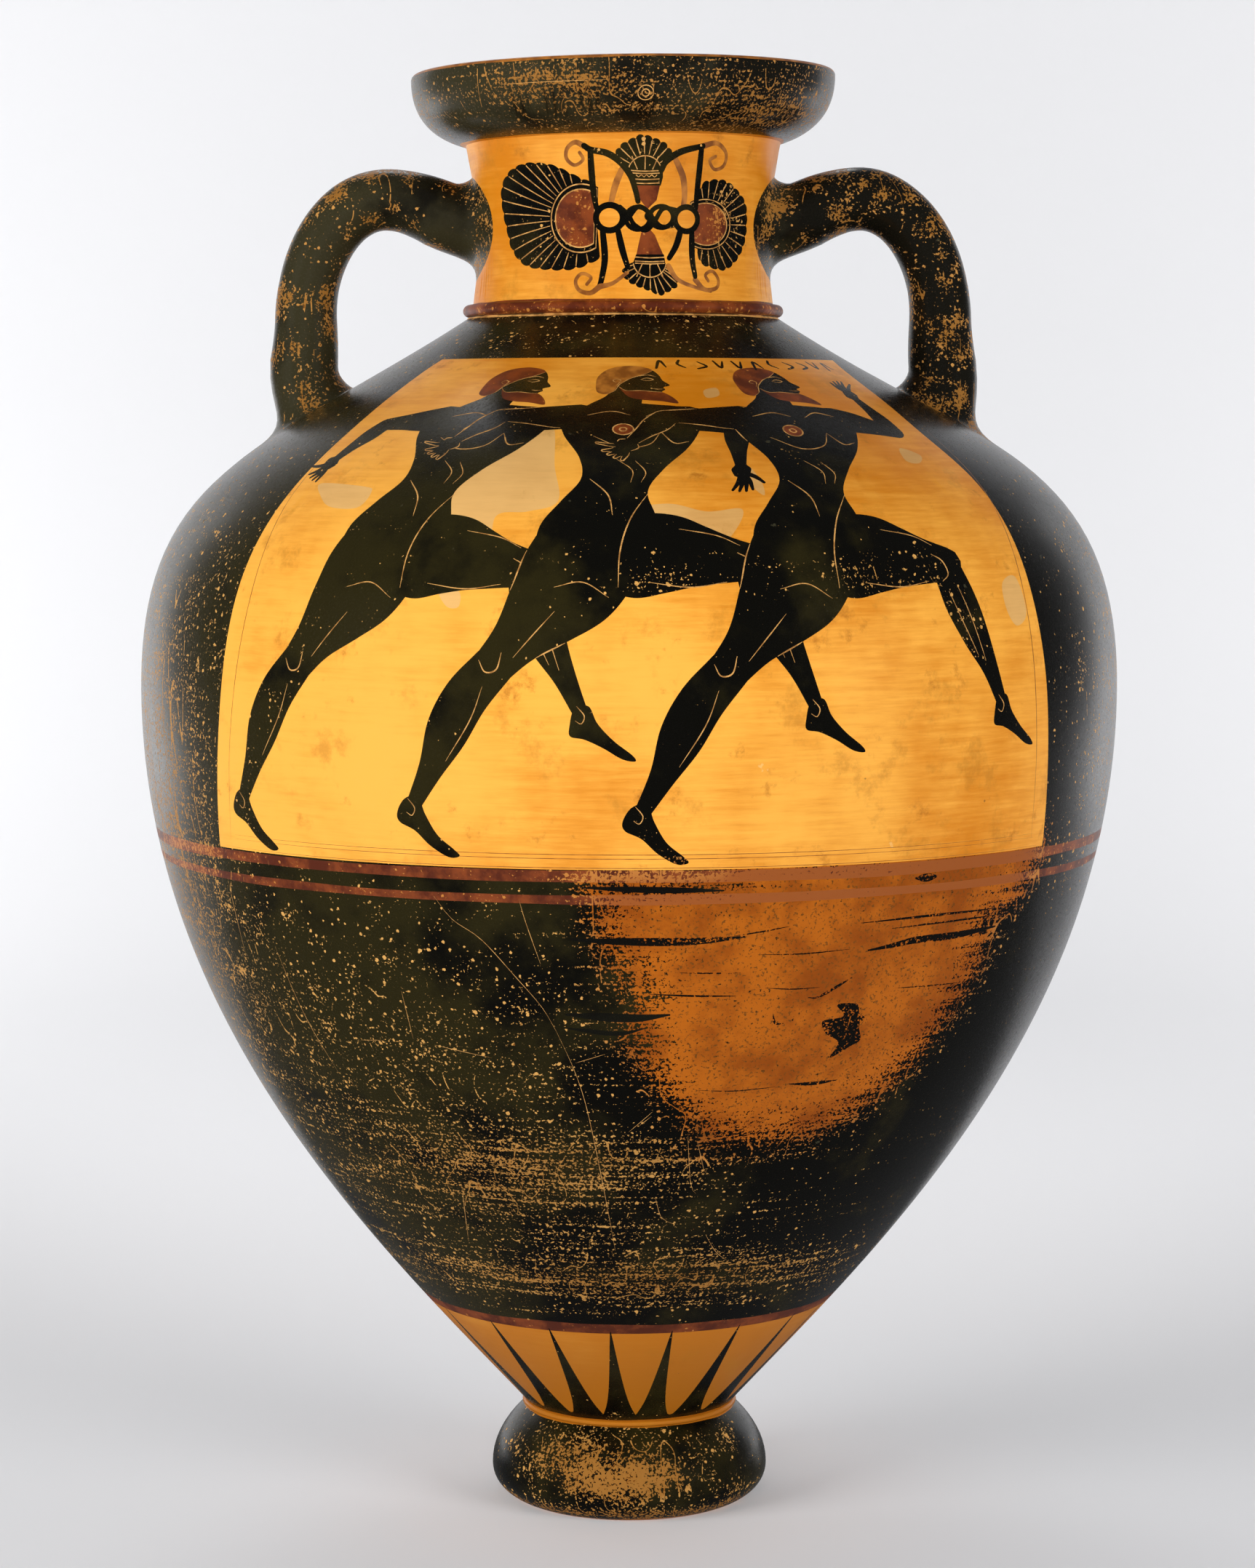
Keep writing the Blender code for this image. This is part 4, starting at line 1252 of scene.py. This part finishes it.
def worn_share(tree, place, keep=0.0):
    """Where the paint is gone: stippled patches or level streaks, round specks and hairline scratches."""
    rub = add(tree, "ShaderNodeAttribute", attribute_name="rub").outputs["Fac"]
    streaky = add(tree, "ShaderNodeAttribute", attribute_name="streaky").outputs["Fac"]
    flat = add(tree, "ShaderNodeMapping", {"Vector": place, "Scale": (1, 1, 36)}).outputs["Vector"]
    streak = add(tree, "ShaderNodeTexNoise", {
        "Vector": flat, "Scale": per_metre(58), "Detail": 6, "Roughness": 0.66,
    })
    patch = add(tree, "ShaderNodeTexNoise", {
        "Vector": place, "Scale": per_metre(12), "Detail": 6, "Roughness": 0.66,
    })
    grain = add(tree, "ShaderNodeTexNoise", {
        "Vector": place, "Scale": per_metre(1.15), "Detail": 2, "Roughness": 0.6,
    })
    patch, grain = patch.outputs["Fac"], grain.outputs["Fac"]
    form = add(tree, "ShaderNodeMix", {
        "Factor": streaky, "A": patch, "B": streak.outputs["Fac"],
    }).outputs["Result"]
    rubbed = between_levels(tree, total(tree, (form, 1.9), (grain, 2.1), (rub, 1.0), -2.0 - keep), 0.62, 0.72)
    some = add(tree, "ShaderNodeMath", {0: rub, 1: 0.22}, operation="MINIMUM").outputs[0]
    specked = specks(tree, place, 3.0, 0.05, (some, 1.2), (patch, 0.45), (grain, 0.40), -0.80 - keep * 0.5)
    slant = add(tree, "ShaderNodeMapping", {
        "Vector": place, "Rotation": (0.5, 0.7, 0.4), "Scale": (1, 1, 0.08),
    })
    thread = add(tree, "ShaderNodeTexNoise", {
        "Vector": slant.outputs["Vector"], "Scale": per_metre(9), "Detail": 0,
    })
    hairline = add(tree, "ShaderNodeMath", {
        0: thread.outputs["Fac"], 1: 0.5, 2: 0.010,
    }, operation="COMPARE").outputs[0]
    broken = between_levels(tree, total(tree, (patch, -1.0), (rub, 0.9), (grain, 0.4), -keep), 0.07, 0.11)
    scratched = add(tree, "ShaderNodeMath", {0: hairline, 1: broken}, operation="MULTIPLY").outputs[0]
    return joined(tree, rubbed, specked, scratched), rub, patch, grain


def relief(tree, shader, height, depth_mm):
    """Fine relief that the light catches, of a real depth."""
    bump = add(tree, "ShaderNodeBump", {"Height": height, "Strength": 1.0, "Distance": depth_mm * MM})
    tree.links.new(bump.outputs["Normal"], shader.inputs["Normal"])


def bare_clay(tree, place, pale, deep, stain):
    """The colour of the burnished clay: broad clouds, fine turning lines and brown stains, with painted shade
    deepening it towards +X, away from the belly's height and at the bottom.
    """
    cloud = add(tree, "ShaderNodeTexNoise", {
        "Vector": place, "Scale": per_metre(70), "Detail": 4, "Roughness": 0.6,
    })
    flat = add(tree, "ShaderNodeMapping", {"Vector": place, "Scale": (1, 1, 14)}).outputs["Vector"]
    turning = add(tree, "ShaderNodeTexNoise", {
        "Vector": flat, "Scale": per_metre(26), "Detail": 5, "Roughness": 0.7,
    })
    spots = add(tree, "ShaderNodeTexNoise", {
        "Vector": place, "Scale": per_metre(22), "Detail": 6, "Roughness": 0.72,
    })
    axes = add(tree, "ShaderNodeSeparateXYZ", {"Vector": place}).outputs
    # Painted shade: the clay is made deeper towards +X, away from the lamp on the left, and away from the
    # belly's height, where the side turns up or down from the light. The clouds and turning lines are the
    # clay's own tone.
    off_belly_shade = add(tree, "ShaderNodeMath", {
        0: total(tree, (axes["Z"], 1.0), -0.36),
    }, operation="ABSOLUTE").outputs[0]
    depth = total(
        tree, (cloud.outputs["Fac"], 1.7), (turning.outputs["Fac"], 0.8), (axes["X"], 1.0),
        (off_belly_shade, 2.2), -0.98,
    )
    colour = blended(tree, between_levels(tree, depth, 0.05, 0.95), pale, deep)
    # Painted shade at the bottom: below 13 cm high the colour darkens towards the stain colour, fully so
    # below 5.5 cm.
    low = between_levels(tree, total(tree, (axes["Z"], -1.0)), -0.130, -0.055)
    colour = blended(tree, low, colour, stain)
    stained = between_levels(tree, spots.outputs["Fac"], 0.57, 0.74)
    return blended(tree, stained, colour, stain), turning.outputs["Fac"], spots.outputs["Fac"]


def burnished_clay():
    """Left clay, burnished before firing: bright orange with a low, even sheen."""
    material, tree, shader, place = start("burnished_clay")
    colour, turning, spots = bare_clay(tree, place, "#F5AE44", "#CE7A10", "#AE6816")
    stain = add(tree, "ShaderNodeTexNoise", {
        "Vector": place, "Scale": per_metre(30), "Detail": 7, "Roughness": 0.7,
    })
    stained = between_levels(tree, stain.outputs["Fac"], 0.54, 0.68)
    # Pale specks, made rougher and sunk a little.
    pale_speck = specks(tree, place, 26, 0.02, (spots, 0.9), -0.80)
    dot = specks(tree, place, 7, 0.03, (spots, 0.5), -0.60)
    colour = blended(tree, total(tree, (stained, 0.50)), colour, "#B0701A")
    colour = blended(tree, total(tree, (pale_speck, 0.6)), colour, "#EDBB72")
    tree.links.new(blended(tree, total(tree, (dot, 0.7)), colour, "#8A5A22"), shader.inputs["Base Color"])
    tree.links.new(total(tree, (spots, 0.35), (pale_speck, 0.2), 0.20), shader.inputs["Roughness"])
    shader.inputs["Specular IOR Level"].default_value = 0.28
    relief(tree, shader, total(tree, (turning, 0.35), (spots, 0.4), (dot, -0.6), (pale_speck, -0.5)), 0.12)
    return material


def toned_fill():
    """A filled chip: smooth filler, toned paler than the clay beside it."""
    material, tree, shader, place = start("toned_fill")
    colour, turning, spots = bare_clay(tree, place, "#E2B068", "#C99450", "#B8843C")
    tree.links.new(colour, shader.inputs["Base Color"])
    shader.inputs["Roughness"].default_value = 0.5
    relief(tree, shader, total(tree, (turning, 0.3), (spots, 0.6)), 0.12)
    return material


def dilute_slip():
    """Slip brushed on thin: it fires a see-through golden brown."""
    material, tree, shader, place = start("dilute_slip")
    tone = add(tree, "ShaderNodeTexNoise", {"Vector": place, "Scale": per_metre(5), "Detail": 3})
    colour = blended(tree, between_levels(tree, tone.outputs["Fac"], 0.35, 0.7), "#7A4416", "#B06E28")
    tree.links.new(colour, shader.inputs["Base Color"])
    shader.inputs["Roughness"].default_value = 0.36
    return material


def black_slip(name, dark, olive, speck, keep=0.0):
    """Black gloss: olive in patches and more so towards -X, dull in old drips, with the clay showing where it
    is worn.
    """
    material, tree, shader, place = start(name)
    worn, rub, patch, grain = worn_share(tree, place, keep)
    thin = add(tree, "ShaderNodeTexNoise", {
        "Vector": place, "Scale": per_metre(45), "Detail": 5, "Roughness": 0.6,
    })
    # The slip turns olive in noise patches and more towards -X.
    across = add(tree, "ShaderNodeSeparateXYZ", {"Vector": place}).outputs["X"]
    olive_share = total(tree, (thin.outputs["Fac"], 1.0), (across, -1.2))
    slip = blended(tree, between_levels(tree, olive_share, 0.42, 0.66), dark, olive)
    drip = specks(tree, place, 11, 0.04, (patch, 0.7), (grain, 0.2), -0.78)
    slip = blended(tree, total(tree, (drip, 0.55)), slip, "#4A4632")
    cloud = add(tree, "ShaderNodeTexNoise", {
        "Vector": place, "Scale": per_metre(28), "Detail": 6, "Roughness": 0.65,
    })
    earth = blended(tree, between_levels(tree, cloud.outputs["Fac"], 0.36, 0.62), "#AE5C0C", "#8A4204")
    bared = add(tree, "ShaderNodeAttribute", attribute_name="bared").outputs["Fac"]
    scoured = blended(tree, between_levels(tree, rub, 0.22, 0.60), speck, "#94642A")
    bare = blended(tree, bared, scoured, earth)
    bare = blended(tree, between_levels(tree, grain, 0.44, 0.36), bare, "#70400F")
    tree.links.new(blended(tree, worn, slip, bare), shader.inputs["Base Color"])
    tree.links.new(total(tree, (worn, 0.24), (grain, 0.22), (drip, 0.2), 0.15), shader.inputs["Roughness"])
    shader.inputs["Specular IOR Level"].default_value = 0.16
    depth = total(tree, (worn, -0.5), (grain, 0.2), (thin.outputs["Fac"], 1.2), (drip, 0.3))
    relief(tree, shader, depth, 0.10)
    return material


def added_red():
    """Dark red, laid over the slip: dull and powdery, flaked to the pinkish ground in places."""
    material, tree, shader, place = start("added_red")
    worn, rub, patch, grain = worn_share(tree, place, -0.06)
    red = blended(tree, between_levels(tree, patch, 0.40, 0.62), "#541F08", "#803A10")
    under = blended(tree, between_levels(tree, rub, 0.45, 0.8), "#B8742E", "#964E16")
    tree.links.new(blended(tree, worn, red, under), shader.inputs["Base Color"])
    shader.inputs["Roughness"].default_value = 0.48
    relief(tree, shader, total(tree, (worn, -0.6), (grain, 0.3)), 0.08)
    return material


def cut_clay():
    """Lines cut through the slip show the clay itself, with no burnish."""
    material, tree, shader, place = start("cut_clay")
    tone = add(tree, "ShaderNodeTexNoise", {"Vector": place, "Scale": per_metre(3), "Detail": 3})
    colour = blended(tree, between_levels(tree, tone.outputs["Fac"], 0.35, 0.6), "#9A6A34", "#D09A55")
    tree.links.new(colour, shader.inputs["Base Color"])
    shader.inputs["Roughness"].default_value = 0.6
    return material


def inner_clay():
    """The unpainted inside and underside: the potter's smoothed, dusty clay."""
    material, tree, shader, place = start("inner_clay")
    colour, turning, spots = bare_clay(tree, place, "#C98A4C", "#A86E38", "#8A5A30")
    tree.links.new(colour, shader.inputs["Base Color"])
    shader.inputs["Roughness"].default_value = 0.7
    relief(tree, shader, total(tree, (turning, 1.0), (spots, 0.5)), 0.2)
    return material


# The slip runs a little way down inside the neck; below it the clay is bare.

SLIP_INSIDE = 25 * MM
JOIN_GAP = 0.03 * MM
SHARP_ANGLE = math.radians(50)
materials = (
    burnished_clay(),
    dilute_slip(),
    black_slip("black_slip", "#090805", "#26210C", "#D09C54"),
    added_red(),
    cut_clay(),
    black_slip("worn_slip", "#14120C", "#332F1E", "#C08A48"),
    black_slip("left_slip", "#0D0B08", "#15140D", "#B8702C", 0.72),
    toned_fill(),
    inner_clay(),
)
for piece in (jar, inside, underside, *handles):
    for material in materials:
        piece.data.materials.append(material)
for piece in (underside, inside):
    piece.data.polygons.foreach_set("material_index", np.full(len(piece.data.polygons), INSIDE, np.int32))
for polygon in inside.data.polygons:
    if polygon.center.z > NECK_TOP - SLIP_INSIDE:
        polygon.material_index = WORN
for roll in handles:
    roll.data.polygons.foreach_set("material_index", np.full(len(roll.data.polygons), WORN, np.int32))

# The four parts are one piece of clay once fired, so their meshes are joined, with no open seam.

bpy.ops.object.select_all(action="DESELECT")
for piece in (inside, underside, *handles, jar):
    piece.select_set(True)
bpy.context.view_layer.objects.active = jar
bpy.ops.object.join()
bpy.ops.object.mode_set(mode="EDIT")
bpy.ops.mesh.select_all(action="SELECT")
bpy.ops.mesh.remove_doubles(threshold=JOIN_GAP)
bpy.ops.mesh.normals_make_consistent(inside=False)
bpy.ops.object.mode_set(mode="OBJECT")
bpy.ops.object.shade_smooth_by_angle(angle=SHARP_ANGLE)

# Wear: how much of the paint is rubbed away, place by place, and where it went in level streaks.
# Each patch is its azimuth in degrees, its height, its reach across and up in cm, and its amount.

rub_patches = (
    (-12, 60.8, 6, 0.9, 0.22), (0, 60.2, 90, 1.9, 0.36), (40, 59.5, 3.5, 0.8, 0.20),
    (-55, 60.0, 3, 1.5, -0.16), (12, 60.6, 2.0, 0.9, -0.20), (-44, 22.0, 15, 7.0, 0.19),
    (-14, 22.0, 8, 6.0, 0.10), (-5, 15.6, 11, 2.6, 0.16), (-25, 16.5, 8, 2.6, 0.16),
    (-3, 11.7, 14, 1.5, 0.37), (18, 12.4, 6, 1.4, 0.14), (14, 18.0, 7, 0.7, 0.26),
    (60, 20.0, 12, 8.0, -0.08), (-82, 33.0, 9, 12.0, 0.30), (-62, 33.0, 5, 10.0, 0.24),
    (80, 38.0, 6, 8.0, 0.22), (66, 32.0, 4, 8.0, 0.16), (-20, 50.6, 9, 1.0, 0.10),
    (25, 50.8, 9, 1.0, 0.12), (0, 51.6, 60, 0.3, 0.12), (0, 1.8, 2.4, 1.0, 0.52),
    (4, 3.2, 6.0, 0.9, 0.36), (10, 1.9, 4.0, 0.7, 0.22), (-22, 1.6, 3.0, 0.8, 0.26),
    (-40, 2.6, 2.5, 1.0, 0.24), (50, 1.2, 2.0, 0.6, 0.30), (0, 0.3, 30, 0.4, 0.55),
    (-44, 40.5, 2.6, 3.4, 0.22), (4, 41.0, 3.2, 0.8, 0.30), (28, 41.0, 3.0, 0.9, 0.36),
    (-24, 35.4, 1.6, 1.6, 0.22), (38, 38.5, 1.6, 3.0, 0.20), (170, 20.0, 12, 8.0, 0.20),
    (130, 38.0, 8, 8.0, 0.14), (-140, 26.0, 9, 6.0, 0.20), (42, 55.2, 0.9, 1.6, 0.42),
    (-22, 54.6, 1.4, 0.8, 0.30), (-14, 56.2, 0.8, 0.5, 0.24),
)

# Low on the right a large area is bare, inside this outline; it is rubbed from its edge inwards.

LOW_BODY = 0.85
RUB_ALL = 0.07
BARE_RUB = (0.64, 1.18)
BARE_FADE = 0.030
bare_edge = flowing([
    (-3.7, 29.3), (9, 29.6), (15, 30.6), (50.6, 30.6), (51.3, 28.1), (45.8, 27.2), (46.3, 25.3),
    (43.1, 22.9), (38.5, 20.9), (27.6, 18.9), (12.4, 18.9), (6.8, 20.2), (2.8, 21.9), (0.4, 23.2),
    (2.5, 25.4), (-1.9, 26.3), (-1.9, 27.7),
], True, 0.6)


def distance_in(outline, azimuth, height):
    """How deep inside an outline of (degrees, cm) each place is, in metres; less than 0 outside."""
    scale = np.array((math.radians(1) * BODY_RADIUS * LOW_BODY, CM))
    places = np.column_stack((np.degrees(azimuth), height / CM))
    nearest = np.full(len(places), 1.0)
    for a, b in zip(outline * scale, np.roll(outline, -1, axis=0) * scale):
        gap = places * scale - a
        span = b - a
        share = np.clip(gap @ span / max(span @ span, 1e-12), 0, 1)
        nearest = np.minimum(nearest, np.hypot(*(gap - share[:, None] * span).T))
    return np.where(within(places, outline), nearest, -nearest)


count = len(jar.data.vertices)
place = np.empty(count * 3)
facing = np.empty(count * 3)
jar.data.vertices.foreach_get("co", place)
jar.data.vertices.foreach_get("normal", facing)
place, facing = place.reshape(-1, 3), facing.reshape(-1, 3)
on_handle = np.zeros(count, bool)
for polygon in jar.data.polygons:
    if polygon.material_index == WORN and polygon.center.z < NECK_TOP:
        on_handle[list(polygon.vertices)] = True
azimuth = np.arctan2(place[:, 0], -place[:, 1])
radius = np.hypot(place[:, 0], place[:, 1])
height = place[:, 2]
rub = np.full(count, RUB_ALL)
streaky = np.interp(height, (0.08, 0.10, 0.18, 0.22, 0.28, 0.56, 0.59), (0.3, 1.0, 1.0, 0.35, 0.4, 0.4, 0.75))
for turn, level_cm, reach, rise, amount in rub_patches:
    apart = np.abs((azimuth - math.radians(turn) + math.pi) % (2 * math.pi) - math.pi) * radius / (reach * CM)
    rub += amount * np.exp(-apart ** 2 - ((height - level_cm * CM) / (rise * CM)) ** 2)
bare = distance_in(bare_edge, azimuth, height)
rub = np.maximum(rub, np.clip(BARE_RUB[0] + bare / BARE_FADE, 0, BARE_RUB[1]))
bared = np.clip(1 + bare / 0.02, 0, 1)
streaky[np.abs(bare) < BARE_FADE] = 0.85
for i in np.nonzero(on_handle)[0]:
    flaked = noise.noise(place[i] / (11 * MM)) + 0.5 * noise.noise(place[i] / (5 * MM))
    rub[i] = 0.34 + 0.08 * facing[i, 2] + 0.05 * (place[i, 0] > 0) + 0.50 * flaked
streaky[on_handle] = 0.0
for name, values in (("rub", rub), ("streaky", streaky), ("bared", bared)):
    attribute = jar.data.attributes.new(name, "FLOAT", "POINT")
    attribute.data.foreach_set("value", values.astype(np.float32))

# The jar isn't quite true: thrown by eye, its neck sits a little to -X, the mouth tilts, and the
# wall is faintly uneven.

NECK_OFFSET = -0.0028
MOUTH_TILT = 0.0138
WALL_SWING = 0.25 * MM


def eased(value, low, high):
    share = np.clip((value - low) / (high - low), 0, 1)
    return share * share * (3 - 2 * share)


turn = np.arctan2(place[:, 1], place[:, 0])
swing = np.sin(2 * turn + 1.3 - 9 * height) + 0.6 * np.sin(3 * turn + 14 * height)
swell = 1 + WALL_SWING * eased(height, 0.05, 0.12) * swing / np.maximum(radius, 0.03)
settled = place * np.column_stack((swell, swell, np.ones(count)))
settled[:, 0] += NECK_OFFSET * eased(height, 0.445, 0.500)
settled[:, 2] += MOUTH_TILT * settled[:, 0] * eased(height, NECK_TOP - 0.02, NECK_TOP + 0.008)
jar.data.vertices.foreach_set("co", settled.ravel())
jar.data.update()

# Light runs evenly over a wheel-turned side, so its shading follows the turned line itself.

ON_LINE = 0.05 * MM
on_line = np.abs(radius - np.interp(height, line[:, 1], line[:, 0])) < ON_LINE
vertex_v = np.interp(height, line[:, 1], up)
corner_count = len(jar.data.loops)
corner_vertex = np.empty(corner_count, np.int32)
shading = np.empty(corner_count * 3)
jar.data.loops.foreach_get("vertex_index", corner_vertex)
jar.data.corner_normals.foreach_get("vector", shading)
shading = shading.reshape(-1, 3)
for polygon in jar.data.polygons:
    corners = slice(polygon.loop_start, polygon.loop_start + polygon.loop_total)
    own = corner_vertex[corners]
    if on_line[own].all() and polygon.material_index != INSIDE:
        v = vertex_v[own]
        piece = np.clip(np.searchsorted(up, v + 0.02 * (v.mean() - v)) - 1, 0, len(up) - 2)
        run = line[piece + 1] - line[piece]
        run /= np.hypot(*run.T)[:, None]
        turn = azimuth[own]
        shading[corners] = np.column_stack((run[:, 1] * np.sin(turn), -run[:, 1] * np.cos(turn), -run[:, 0]))
jar.data.normals_split_custom_set(shading.tolist())

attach(jar, "root")
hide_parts("amphora")

# THE STAGE
# A pale floor that curves up into a pale wall, with wide soft lights in front, at both sides and
# above, small ones at the edges, and lamps on the wall and behind.

FLOOR_BACK = 3.4
FLOOR_BEND = 2.0
FLOOR_JOINT = 0.35
FLOOR_FRONT = -4.0
WALL_TOP = 5.0
PAPER_HALF = 6
BEND_STEPS = 16
paper, _, paper_shader, _ = start("studio_paper")
paper_shader.inputs["Base Color"].default_value = linear("#E6E6E8")
paper_shader.inputs["Roughness"].default_value = 0.9


def paper_sheet(name, sheet_line):
    """A sheet of backdrop paper, 12 m wide, along a line of (y, z) points."""
    count = len(sheet_line)
    mesh = bpy.data.meshes.new(name)
    mesh.from_pydata(
        [(x, y, z) for x in (-PAPER_HALF, PAPER_HALF) for y, z in sheet_line], [],
        [(k, k + count, k + 1 + count, k + 1) for k in range(count - 1)],
    )
    mesh.polygons.foreach_set("use_smooth", [True] * (count - 1))
    mesh.materials.append(paper)
    sheet = bpy.data.objects.new(name, mesh)
    bpy.context.scene.collection.objects.link(sheet)
    return sheet


bends = [math.radians(90 * k / BEND_STEPS) for k in range(BEND_STEPS + 1)]
bent_line = [(FLOOR_BACK - FLOOR_BEND * (1 - math.sin(a)), FLOOR_BEND * (1 - math.cos(a))) for a in bends]
paper_sheet("backdrop", [(FLOOR_JOINT, 0.0), *bent_line, (FLOOR_BACK, WALL_TOP)])
# The near floor is kept out of the gloss, as dark cards beside the camera would keep it.
paper_sheet("floor", [(FLOOR_FRONT, 0.0), (FLOOR_JOINT, 0.0)]).visible_glossy = False

world = bpy.data.worlds.new("studio")
bpy.context.scene.world = world
world.use_nodes = True
world.node_tree.nodes["Background"].inputs["Color"].default_value = linear("#F4F6FA")
world.node_tree.nodes["Background"].inputs["Strength"].default_value = 0.14


def soft_light(name, place, target, size, power, polarised=False):
    """A wide lamp.  A polarised one, with the filter crossed at the lens, leaves no glare on the gloss."""
    bpy.ops.object.light_add(type="AREA", location=place)
    lamp = bpy.context.object
    lamp.name = name
    lamp.data.shape = "RECTANGLE"
    lamp.data.size, lamp.data.size_y = size
    lamp.data.energy = power
    lamp.rotation_euler = (Vector(target) - Vector(place)).to_track_quat("-Z", "Y").to_euler()
    lamp.visible_glossy = not polarised
    return lamp


soft_light("left_light", (-2.6, -1.7, 0.9), (0, 0, 0.30), (1.8, 1.6), 82, True)
soft_light("right_light", (2.4, -2.0, 0.9), (0, 0, 0.30), (1.6, 1.6), 60, True)
soft_light("front_light", (-0.3, -3.2, 0.8), (0, 0, 0.30), (1.4, 1.0), 20, True)
# Two spots behind show the back, and throw no shadow on the floor in front.
for side in (-1, 1):
    spot = soft_light(f"back_light_{side}", (side * 1.0, 2.3, 1.7), (0, 0, 0.20), (1, 1), 60, True)
    spot.data.type = "SPOT"
    spot.data.spot_size = math.radians(50)
    spot.data.spot_blend = 1.0
    spot.data.shadow_soft_size = 0.3
    spot.data.use_shadow = False
    spot.visible_camera = False
soft_light("top_light", (-0.2, 1.3, 1.9), (0, 0, 0.50), (0.7, 0.7), 6)
soft_light("left_edge_light", (-1.2, 1.3, 0.5), (0, 0, 0.30), (0.4, 1.4), 1.0)
soft_light("right_edge_light", (1.2, 1.3, 0.4), (0, 0, 0.25), (0.4, 1.4), 1.0)
soft_light("left_wall_light", (-1.9, 1.2, 0.8), (-0.8, 3.3, 0.4), (1.2, 1.2), 36)
soft_light("right_wall_light", (1.9, 1.2, 0.8), (0.8, 3.3, 0.4), (1.2, 1.2), 26)
bpy.context.scene.view_settings.view_transform = "Standard"
